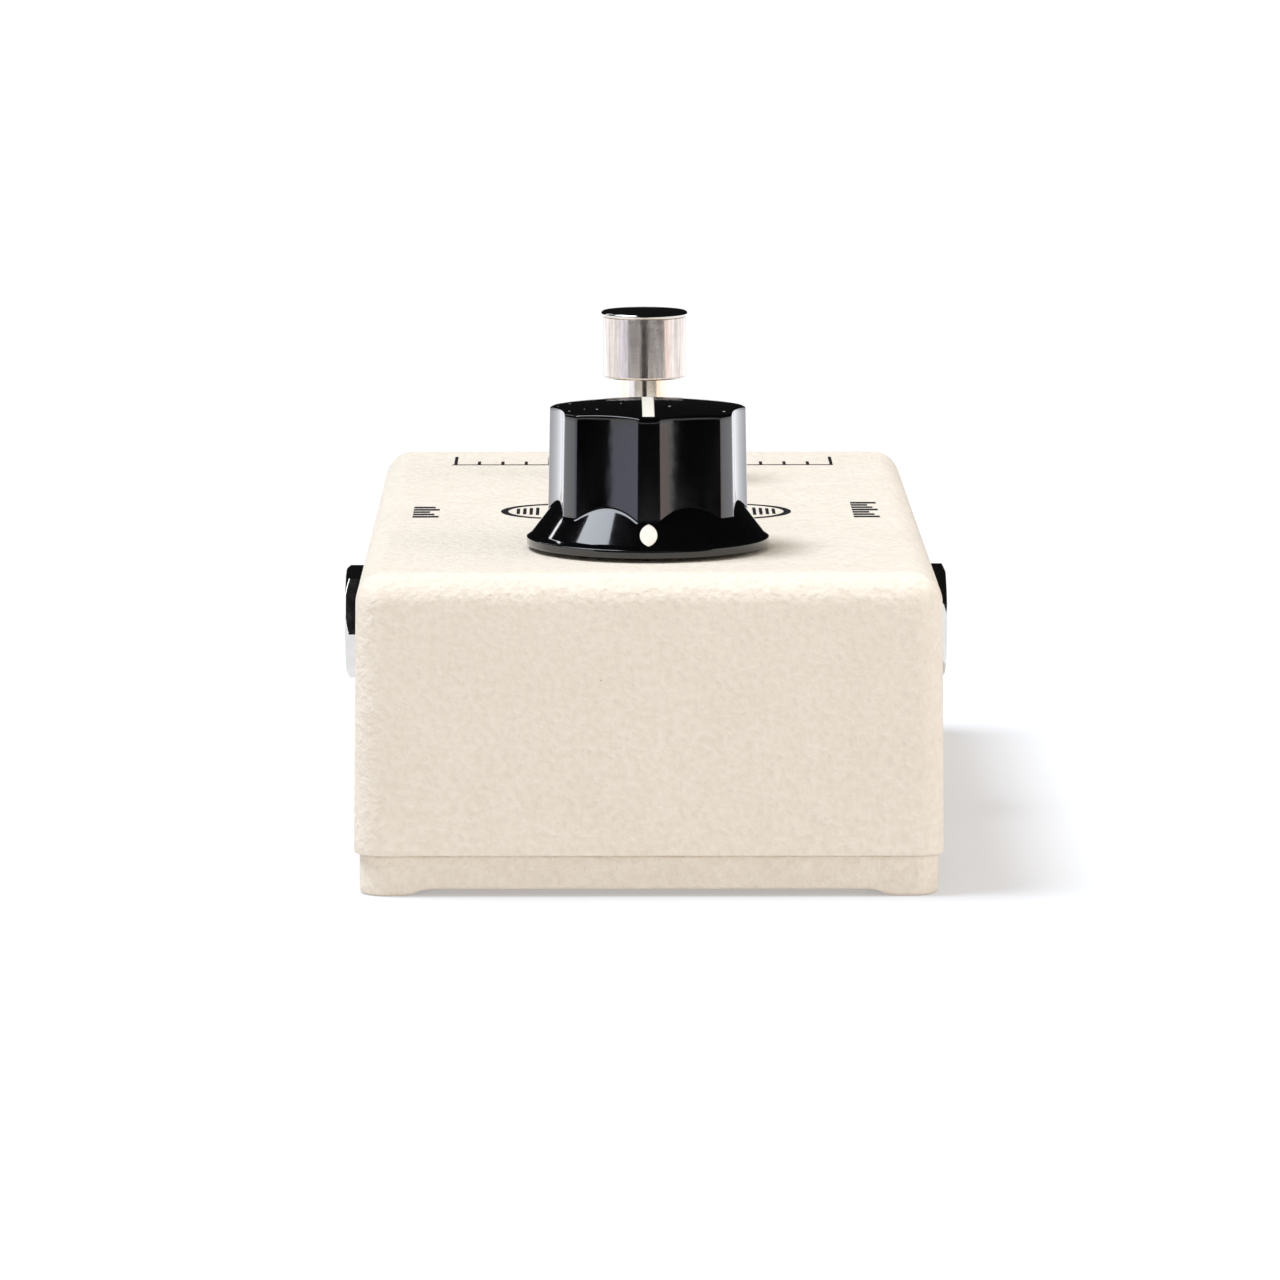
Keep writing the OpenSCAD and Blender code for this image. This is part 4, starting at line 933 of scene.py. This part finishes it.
class Paint:
    """One material's node tree, with short calls for the nodes that the finishes share."""

    def __init__(self, name, **sockets):
        self.material = bpy.data.materials.new(name)
        self.material.use_nodes = True
        self.tree = self.material.node_tree
        for socket, value in sockets.items():
            self.put(socket.replace("_", " "), value)
        where = self.node("ShaderNodeTexCoord").outputs["Object"]
        self.place = self.vector("SCALE", i0=where, Scale=1 / MM)

    def put(self, socket, value):
        feed(self.tree, self.tree.nodes["Principled BSDF"].inputs[socket], value)

    def node(self, kind, settings=None, **inputs):
        return add_node(self.tree, kind, settings, **inputs)

    def math(self, operation, a, b=0.0):
        return self.node("ShaderNodeMath", {"operation": operation}, i0=a, i1=b).outputs[0]

    def vector(self, operation, **inputs):
        return self.node("ShaderNodeVectorMath", {"operation": operation}, **inputs).outputs[0]

    def length(self, place):
        made = self.node("ShaderNodeVectorMath", {"operation": "LENGTH"}, i0=place)
        return made.outputs["Value"]

    def split(self, place=None):
        """The x, y and z of a place, in millimetres."""
        return self.node("ShaderNodeSeparateXYZ", i0=place or self.place).outputs

    def stretched(self, factors, place=None):
        return self.vector("MULTIPLY", i0=place or self.place, i1=factors)

    def grain(self, size, detail=2.0, place=None, rough=0.5):
        """Cloudy noise from 0 to 1 in lumps of that many millimetres."""
        sockets = {"Scale": 1 / size, "Detail": detail, "Roughness": rough}
        made = self.node("ShaderNodeTexNoise", Vector=place or self.place, **sockets)
        return made.outputs["Fac"]

    def specks(self, spacing, radius, share):
        """1 on small round specks, a share of one to each cell of that spacing, and 0 elsewhere."""
        cells = self.node("ShaderNodeTexVoronoi", Vector=self.place, Scale=1 / spacing)
        near = self.math("LESS_THAN", cells.outputs["Distance"], radius / spacing)
        pick = self.node("ShaderNodeSeparateColor", i0=cells.outputs["Color"]).outputs[0]
        return self.math("MULTIPLY", near, self.math("LESS_THAN", pick, share))

    def span(self, value, low, high, low_in=0.3, high_in=0.7):
        sockets = {"i1": low_in, "i2": high_in, "i3": low, "i4": high}
        return self.node("ShaderNodeMapRange", i0=value, **sockets).outputs[0]

    def mix(self, share, a, b):
        return self.node("ShaderNodeMix", {"data_type": "RGBA"}, i0=share, i6=a, i7=b).outputs[2]

    def bump(self, height, depth, below=None):
        """Bumps of that many millimetres between height 0 and 1."""
        made = self.node("ShaderNodeBump", Height=height, Distance=depth * MM, Strength=1.0)
        if below is not None:
            self.tree.links.new(below, made.inputs["Normal"])
        self.put("Normal", made.outputs[0])
        return made.outputs[0]

    def surface(self, colour, rough_grain, rough):
        """The colour, and a roughness that varies in clouds."""
        self.put("Base Color", colour)
        self.put("Roughness", self.span(self.grain(*rough_grain), *rough))

    def round_axis(self, axis, centre):
        """A place as (distance from the axis, distance along it, 0), for marks left by turning."""
        keep = {"z": (1, 1, 0), "x": (0, 1, 1)}[axis]
        shifted = self.vector("SUBTRACT", i0=self.place, i1=centre)
        out = self.length(self.stretched(keep, shifted))
        along = self.split(shifted)["xyz".index(axis)]
        return self.node("ShaderNodeCombineXYZ", i0=out, i1=along).outputs[0]


def cream_paint():
    paint = Paint("cream_paint", Specular_IOR_Level=0.18)
    clouds = paint.span(paint.grain(9, 3), 0, 1)
    tone = paint.mix(clouds, (0.78, 0.685, 0.572), (0.81, 0.715, 0.602))
    peel_height_and_shade = paint.grain(0.75, 3)
    # Painted shade: the hollows of the orange peel, where its bump sinks, are painted darker.
    fine = paint.mix(paint.span(peel_height_and_shade, 0.55, 0), tone, (0.69, 0.587, 0.47))
    colour = paint.mix(paint.specks(6, 0.07, 0.35), fine, (0.30, 0.24, 0.18))
    paint.surface(colour, (1.1, 3), (0.38, 0.55))
    peel = paint.bump(peel_height_and_shade, 0.26)
    paint.bump(paint.grain(4, 1), 0.2, peel)
    return paint.material


def phenolic():
    """Glossy black with faint smears, and dust on the faces that look up."""
    paint = Paint("phenolic", Coat_Weight=0.8, Coat_Roughness=0.03)
    facing = paint.node("ShaderNodeTexCoord").outputs["Normal"]
    upward = paint.math("GREATER_THAN", paint.split(facing)[2], 0.8)
    dust = paint.math("MULTIPLY", paint.specks(1.5, 0.16, 0.8), upward)
    body = paint.mix(paint.grain(2.5, 3), (0.0008, 0.0008, 0.001), (0.0022, 0.002, 0.0022))
    paint.put("Base Color", paint.mix(dust, body, (0.75, 0.74, 0.72)))
    smears = paint.span(paint.grain(3.5, 4, paint.stretched((1, 1, 0.3))), 0.05, 0.13)
    paint.put("Roughness", paint.math("MAXIMUM", smears, paint.math("MULTIPLY", dust, 0.8)))
    paint.bump(paint.grain(1.8, 2), 0.004)
    return paint.material


def phenolic_rim():
    paint = Paint("phenolic_rim", Specular_IOR_Level=0.35)
    colour = paint.mix(paint.grain(0.8, 3), (0.022, 0.019, 0.018), (0.05, 0.044, 0.04))
    paint.surface(colour, (0.5, 3), (0.4, 0.6))
    lathe_marks = paint.grain(0.06, 2, paint.round_axis("z", (0, KNOB_Y, 0)))
    paint.bump(lathe_marks, 0.006)
    return paint.material


def coat(name, tones, tone_grain, rough, rough_grain, lump, depth, **sockets):
    """A thin coat of paint: its tone, gloss and height vary in clouds of their own sizes."""
    paint = Paint(name, **sockets)
    paint.surface(paint.mix(paint.grain(*tone_grain), *tones), rough_grain, rough)
    paint.bump(paint.grain(lump, 2), depth)
    return paint.material


def metal(name, light, dark, rough, scratch, axis=None, centre=(0, 0, 0), satin=0.0, streak=0.0):
    """Plated or turned metal: tone and gloss vary, with fine scratches and marks round the axis."""
    paint = Paint(name, Metallic=1.0)
    drawn = paint.stretched((1, 1, streak) if streak else (1, 6, 1))
    cloud = paint.grain(0.4, 4, drawn) if streak else paint.grain(2.2, 4)
    paint.surface(paint.mix(paint.span(cloud, 0, 1), dark, light), (0.9, 4), rough)
    relief = paint.bump(paint.grain(0.35, 4, drawn), scratch)
    if axis:
        rings = paint.grain(0.05, 3, paint.round_axis(axis, centre), 0.7)
        paint.bump(rings, satin, relief)
    return paint.material


def plastic(name, light, dark, rough, lump=0.6, depth=0.008):
    """Moulded plastic: a fine even grain over faint flow marks."""
    paint = Paint(name)
    clouds = paint.span(paint.grain(2.5, 3), 0, 1)
    paint.surface(paint.mix(clouds, dark, light), (1.2, 3), rough)
    flow = paint.bump(paint.grain(lump, 2), depth)
    paint.bump(paint.grain(0.09, 1), depth / 3, flow)
    return paint.material


def foam():
    paint = Paint("foam", Specular_IOR_Level=0.2)
    cells = paint.node("ShaderNodeTexVoronoi", Vector=paint.place, Scale=2.2).outputs["Distance"]
    # Painted shade: each cell is darker towards its middle, where the bump sinks a pit.
    colour = paint.mix(cells, (0.02, 0.02, 0.024), (0.09, 0.09, 0.10))
    paint.surface(colour, (0.5, 2), (0.85, 1.0))
    paint.bump(cells, 0.25)
    return paint.material


def solder_mask():
    """Green board with raised copper tracks under the lacquer."""
    paint = Paint("green_board")
    sockets = {"Scale": 0.4, "Mortar Size": 0.09}
    tracks = paint.node("ShaderNodeTexBrick", {"offset": 0.37}, Vector=paint.place, **sockets)
    line = tracks.outputs["Fac"]
    green = paint.mix(paint.grain(3, 3), (0.02, 0.11, 0.045), (0.03, 0.15, 0.06))
    paint.surface(paint.mix(line, green, (0.06, 0.24, 0.09)), (1.5, 2), (0.25, 0.4))
    paint.bump(line, 0.035)
    return paint.material


LEAD_TONE = (0.72, 0.72, 0.70)


def banded_resistors():
    """Tan bodies with four colour bands, and bare tinned leads beyond them."""
    bank_pitch, first_lead, lead_span = 30.0, -22.0, 10.0
    band_half, body_half = 0.33, 3.12
    paint = Paint("resistor_coat")
    from_lead = paint.math("SUBTRACT", paint.split()[0], first_lead)
    along = paint.math("MODULO", from_lead, bank_pitch)
    coat = paint.mix(paint.grain(0.8, 3), (0.50, 0.36, 0.20), (0.58, 0.43, 0.25))
    bands = [(3.1, (0.20, 0.07, 0.02)), (4.2, (0.02, 0.02, 0.02)), (5.3, (0.55, 0.03, 0.02))]
    bands.append((7.0, (0.60, 0.42, 0.10)))
    for at, colour in bands:
        off = paint.math("ABSOLUTE", paint.math("SUBTRACT", along, at))
        coat = paint.mix(paint.math("LESS_THAN", off, band_half), coat, colour)
    from_middle = paint.math("ABSOLUTE", paint.math("SUBTRACT", along, lead_span / 2))
    lead = paint.math("GREATER_THAN", from_middle, body_half)
    paint.surface(paint.mix(lead, coat, LEAD_TONE), (0.6, 2), (0.3, 0.45))
    paint.put("Metallic", lead)
    paint.bump(paint.grain(0.5, 2), 0.01)
    return paint.material


def leaded(name, light, dark, rough, stripe=None):
    """A coated component whose legs are bare below its body, with a stripe on each can."""
    stripe_pitch, stripe_w, leg_h = 7.5, 1.4, 0.28
    paint = Paint(name)
    x, _, z = paint.split()
    lead = paint.math("LESS_THAN", z, BOARD_Z + leg_h)
    body = paint.mix(paint.grain(1.0, 3), dark, light)
    if stripe:
        along = paint.math("MODULO", paint.math("ADD", x, 100), stripe_pitch)
        body = paint.mix(paint.math("LESS_THAN", along, stripe_w), body, stripe)
    paint.surface(paint.mix(lead, body, LEAD_TONE), (0.8, 3), rough)
    paint.put("Metallic", lead)
    paint.bump(paint.grain(0.6, 2), 0.012)
    return paint.material


def floor_paper():
    """Pale paper that lights itself a little, with painted light that makes it lighter and warmer
    far from the object.
    """
    paint = Paint("floor_paper", Specular_IOR_Level=0.1, Emission_Strength=FLOOR_GLOW)
    tone = paint.mix(paint.grain(40, 3), (0.485, 0.475, 0.475), (0.50, 0.49, 0.49))
    # Painted light: from 300 to 1000 mm out from the object the paper is painted lighter and
    # warmer.
    far = paint.span(paint.length(paint.place), 0, 1, 300, 1000)
    paint.put("Base Color", paint.mix(far, tone, (0.56, 0.52, 0.49)))
    paint.put("Emission Color", (1.0, 1.0, 1.0))
    paint.put("Roughness", 0.9)
    return paint.material


# ---------- finishing the pieces ----------


def finish(obj, material, slot, body="chassis", *more):
    """Gives a built piece its materials and the body that it rides on; slot is not used."""
    obj.data.materials.clear()
    for made in (material, *more):
        obj.data.materials.append(made)
    set_all(obj.modifiers.new("even", "WEIGHTED_NORMAL"), keep_sharp=True)
    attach(obj, body)


def dress(node, material, edge):
    """Keeps a CAD node, rounds its edges and gives it a material."""
    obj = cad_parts[node]
    mesh = obj.data
    if "custom_normal" in mesh.attributes:
        mesh.attributes.remove(mesh.attributes["custom_normal"])
    mesh.shade_smooth()
    set_all(obj.modifiers.new("weld", "WELD"), merge_threshold=TINY)
    if edge:
        flat = obj.modifiers.new("flat", "DECIMATE")
        set_all(flat, decimate_type="DISSOLVE", angle_limit=math.radians(0.5))
        bevel = obj.modifiers.new("edges", "BEVEL")
        set_all(bevel, width=edge * MM, segments=2, limit_method="ANGLE")
        set_all(bevel, angle_limit=math.radians(35), use_clamp_overlap=True)
        set_all(obj.modifiers.new("normals", "WEIGHTED_NORMAL"), keep_sharp=True)
    mesh.materials.clear()
    mesh.materials.append(material)


jack_axis = (0, JACK_Y, JACK_Z)
BRIGHT = ((0.80, 0.78, 0.75), (0.70, 0.68, 0.65))
SATIN = ((0.78, 0.715, 0.665), (0.56, 0.49, 0.44))
WARM = ((0.90, 0.83, 0.72), (0.78, 0.68, 0.54))
INLAY = ((0.74, 0.68, 0.58), (0.80, 0.74, 0.64))
INK = ((0.010, 0.010, 0.012), (0.035, 0.033, 0.035))
cream = cream_paint()
black = phenolic()
white = coat("white_inlay", INLAY, (0.7, 3), (0.3, 0.5), (0.4, 2), 0.5, 0.008)
ink_coat = {"rough_grain": (0.5, 3), "lump": 0.3, "depth": 0.006, "Specular_IOR_Level": 0.4}
ink = coat("black_ink", INK, (0.6, 3), (0.35, 0.6), **ink_coat)
satin_nickel = metal("satin_nickel", *SATIN, (0.12, 0.2), 0.014, "z", SWITCH_PLACE, 0.003, 0.08)
bright_nickel = metal("bright_nickel", *BRIGHT, (0.06, 0.14), 0.002, "z", SWITCH_PLACE, 0.0015)
jack_nickel = metal("jack_nickel", *BRIGHT, (0.07, 0.16), 0.002, "x", jack_axis, 0.0015)
warm_nickel = metal("warm_nickel", *WARM, (0.06, 0.12), 0.001)
plain_nickel = metal("plain_nickel", *BRIGHT, (0.12, 0.25), 0.003)
steel = metal("steel", (0.60, 0.61, 0.63), (0.42, 0.43, 0.45), (0.25, 0.42), 0.006)
brass = metal("brass", (0.86, 0.66, 0.30), (0.66, 0.47, 0.20), (0.18, 0.35), 0.004)
tin = metal("tinned_contacts", (0.80, 0.80, 0.79), (0.62, 0.62, 0.60), (0.25, 0.4), 0.005)
dark_plastic = plastic("black_plastic", (0.022, 0.022, 0.025), (0.014, 0.014, 0.016), (0.35, 0.5))

shell = build_shell()
plate = build_plate()
screws = build_screws()
knob, knob_line, knob_dot = build_knob()
cap = build_cap()
plunger = build_plunger()
bushing, top_nut, washer = build_switch_collar()
spring = build_spring()
socket, pin = build_power_jack()
marks = build_marks()

finish(shell, cream, "cream_paint")
finish(plate, cream, "cream_paint")
finish(screws, steel, "steel")
finish(marks, ink, "black_plastic")
finish(knob, black, "phenolic", "knob", phenolic_rim())
finish(knob_line, white, "white_inlay", "knob")
finish(knob_dot, white, "white_inlay", "knob")
finish(cap, satin_nickel, "nickel", "footswitch_button", bright_nickel)
finish(plunger, warm_nickel, "nickel", "footswitch_button")
finish(bushing, bright_nickel, "nickel")
finish(top_nut, bright_nickel, "nickel")
finish(washer, dark_plastic, "black_plastic")
finish(spring, steel, "steel")
finish(socket, dark_plastic, "black_plastic")
finish(pin, plain_nickel, "nickel")
for name, side in (("input", -1), ("output", 1)):
    for piece in build_jack(name, side):
        finish(piece, jack_nickel, "nickel")

for face in cap.data.polygons:
    face.material_index = int(face.center.z / MM > cap_high[2] - BEAD_H - CAP_DISH)

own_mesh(spring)

SLEEVE = ((0.05, 0.052, 0.06), (0.03, 0.031, 0.036))
CAN = ((0.02, 0.03, 0.13), (0.015, 0.02, 0.09))
sleeve = plastic("battery_sleeve", *SLEEVE, (0.25, 0.4), 2.0, 0.02)
blue = plastic("blue_plastic", (0.02, 0.045, 0.20), (0.014, 0.03, 0.15), (0.35, 0.5))
white_plastic = plastic("white_plastic", (0.78, 0.78, 0.72), (0.68, 0.68, 0.62), (0.35, 0.5))
carbon = plastic("carbon_track", (0.03, 0.028, 0.025), (0.018, 0.017, 0.016), (0.5, 0.7), 0.3)
red_film = leaded("red_film", (0.45, 0.04, 0.03), (0.36, 0.03, 0.02), (0.25, 0.4))
can_sleeve = leaded("capacitor_sleeve", *CAN, (0.25, 0.4), (0.55, 0.57, 0.62))
chip_black = leaded("chip_black", (0.03, 0.03, 0.032), (0.02, 0.02, 0.022), (0.5, 0.7))
WIRE_COLOURS = {
    "battery_lead_red": (0.50, 0.015, 0.012),
    "battery_lead_black": (0.018, 0.018, 0.02),
    "power_wires": (0.42, 0.02, 0.015),
    "input_wires": (0.62, 0.45, 0.02),
    "output_wires": (0.02, 0.14, 0.42),
    "switch_wires": (0.03, 0.28, 0.06),
}

KEPT = [
    (plain_nickel, 0.08, "pot_shaft pot_bushing pot_nut switch_inner_nut power_jack_nut"),
    (steel, 0.05, "knob_set_screw pot_washer switch_lock_washer switch_frame"),
    (brass, 0.1, "knob_insert"),
    (brass, 0.03, "pot_wiper"),
    (white_plastic, 0.08, "pot_rotor switch_rocker"),
    (carbon, 0.03, "pot_track"),
    (dark_plastic, 0.12, "pot_housing battery_snap input_jack_housing output_jack_housing"),
    (blue, 0.15, "switch_housing"),
    (tin, 0.04, "pot_terminals switch_terminals input_jack_contacts output_jack_contacts"),
    (tin, 0.04, "power_jack_terminals battery_studs"),
    (sleeve, 0.0, "battery_can"),
    (foam(), 0.3, "battery_foam"),
    (solder_mask(), 0.03, "circuit_board"),
    (chip_black, 0.05, "op_amp_chip"),
    (banded_resistors(), 0.0, "resistors"),
    (red_film, 0.2, "film_capacitors"),
    (can_sleeve, 0.05, "electrolytic_capacitors"),
    (chip_black, 0.0, "diode"),
]
for material, edge, names in KEPT:
    for name in names.split():
        dress(name, material, edge)
for name, colour in WIRE_COLOURS.items():
    darker = tuple(c * 0.8 for c in colour)
    dress(name, plastic(name, colour, darker, (0.3, 0.45), 1.5, 0.01), 0)

# ---------- stage and light ----------

FLOOR_R = 6000
FLOOR_GLOW = 0.30
KEY_ELEVATION = 67
KEY_WIDTH = 24
KEY_POWER = 2.8
AMBIENT = 0.57
GLOSSY_SKY = 0.008
REAR_GLOW = 1.6
SIDE_GLOW = 1.4
SOFTBOX_GLOW = 6.0
SKY_R = 900
SKY_STEPS = 16
SLATE = (0.86, 0.88, 1.12)
UMBER = (1.2, 0.95, 0.85)
PLAIN = (0.97, 0.98, 1.03)
COOL = (0.90, 0.95, 1.03)
SHEEN_REACH = (330, 560)
SIDE_REACH = (250, 620)
PANELS = {
    "panel_right": ((680, -240, 320), 2.1),
    "panel_front": ((0, -700, 140), 0.75),
    "panel_above": ((0, 0, 1100), 1.15),
}


def build_floor():
    sides = 96
    verts = ring_of(FLOOR_R, 0, circle(sides)).tolist() + [[0, 0, 0]]
    floor = add_object("floor", verts, [[i, (i + 1) % sides, sides] for i in range(sides)])
    floor.data.materials.append(floor_paper())


def card(name, verts, faces, colour, strength):
    """A glowing card that shows in reflections and nowhere else."""
    obj = add_object(name, verts, faces)
    paint = Paint(name, Base_Color=(0, 0, 0), Specular_IOR_Level=0.0)
    paint.put("Emission Color", colour)
    paint.put("Emission Strength", strength)
    obj.data.materials.append(paint.material)
    for ray_kind in ("camera", "diffuse", "shadow", "transmission", "volume_scatter"):
        setattr(obj, "visible_" + ray_kind, False)


def floor_sector(name, turn, reach, colour, strength, ragged=0.0, height=1.0):
    """A card on the floor: a sector about the knob, turned from the front towards +X."""
    rim = np.linspace(*turn, 24)
    radii = np.linspace(reach[0], reach[0] + 260, 40)
    line = [(a, reach[0]) for a in rim]
    line += [(turn[1] + ragged * noise.noise(Vector((r / 9, 3, 0))), r) for r in radii]
    line += [(a, reach[1]) for a in rim[::-1]]
    line += [(turn[0] + ragged * noise.noise(Vector((r / 9, 7, 0))), r) for r in radii[::-1]]
    verts = []
    for angle, radius in line:
        t = math.radians(angle)
        verts.append((radius * math.sin(t), KNOB_Y - radius * math.cos(t), height))
    card(name, verts, [list(range(len(verts)))], colour, strength)


def sky_card(name, turn, rise, colour, strength):
    """A card overhead: a patch of a great ball about the knob."""
    row = SKY_STEPS + 1
    verts, faces = [], []
    for t in np.radians(np.linspace(*turn, row)):
        for e in np.radians(np.linspace(*rise, row)):
            flat, up = SKY_R * math.cos(e), SKY_R * math.sin(e)
            verts.append((flat * math.sin(t), KNOB_Y - flat * math.cos(t), TOP_Z + up))
    for i in range(SKY_STEPS):
        for a in range(i * row, i * row + SKY_STEPS):
            faces.append([a, a + 1, a + row + 1, a + row])
    card(name, verts, faces, colour, strength)


def lamp(name, kind, place, aim, **settings):
    obj = bpy.data.objects.new(name, set_all(bpy.data.lights.new(name, kind), **settings))
    obj.location = Vector(place) * MM
    direction = Vector(aim) - Vector(place)
    obj.rotation_euler = direction.to_track_quat("-Z", "Y").to_euler()
    obj.visible_glossy = False
    scene.collection.objects.link(obj)


build_floor()
# front_gap is black and gives no light: a painted dark reflection over the floor in front of the
# knob, from 352 mm out.
floor_sector("front_gap", (-52, 63), (352, 1600), PLAIN, 0.0, 11, 1.5)
floor_sector("slate_sheen", (-84, -46), SHEEN_REACH, SLATE, 1.25)
floor_sector("umber_sheen", (66, 82), SHEEN_REACH, UMBER, 1.3)
for side in (-1, 1):
    floor_sector(f"side_card_{side + 1}", (side * 84, side * 126), SIDE_REACH, PLAIN, SIDE_GLOW)
    floor_sector(f"rear_card_{side + 1}", (side * 128, side * 160), SIDE_REACH, PLAIN, REAR_GLOW)
sky_card("softbox", (-99, -31), (27, 60), COOL, SOFTBOX_GLOW)
sky_card("strip_left", (-131, -128), (14, 42), PLAIN, SOFTBOX_GLOW)
slope = math.radians(KEY_ELEVATION)
from_left = (-1000 * math.cos(slope), 0, 1000 * math.sin(slope))
key = {"energy": KEY_POWER, "color": (0.93, 1.04, 1.18), "angle": math.radians(KEY_WIDTH)}
lamp("key", "SUN", from_left, (0, 0, 0), **key)
panel = {"color": (1.0, 0.99, 0.98), "shape": "SQUARE", "size": 0.6}
for name, (place, power) in PANELS.items():
    lamp(name, "AREA", place, (0, 0, 20), energy=power, **panel)

# The sky is white to the camera, AMBIENT to matt surfaces and nearly black in reflections.
world = bpy.data.worlds.new("studio")
scene.world = world
world.use_nodes = True
tree = world.node_tree
ray = add_node(tree, "ShaderNodeLightPath").outputs
levels = {"i0": ray["Is Glossy Ray"], "i1": GLOSSY_SKY - AMBIENT, "i2": AMBIENT}
dim = add_node(tree, "ShaderNodeMath", {"operation": "MULTIPLY_ADD"}, **levels).outputs[0]
pale = {"i0": dim, "i1": ray["Is Camera Ray"]}
pale = add_node(tree, "ShaderNodeMath", {"operation": "MAXIMUM"}, **pale).outputs[0]
feed(tree, tree.nodes["Background"].inputs["Strength"], pale)
feed(tree, tree.nodes["Background"].inputs["Color"], (1, 1, 1))
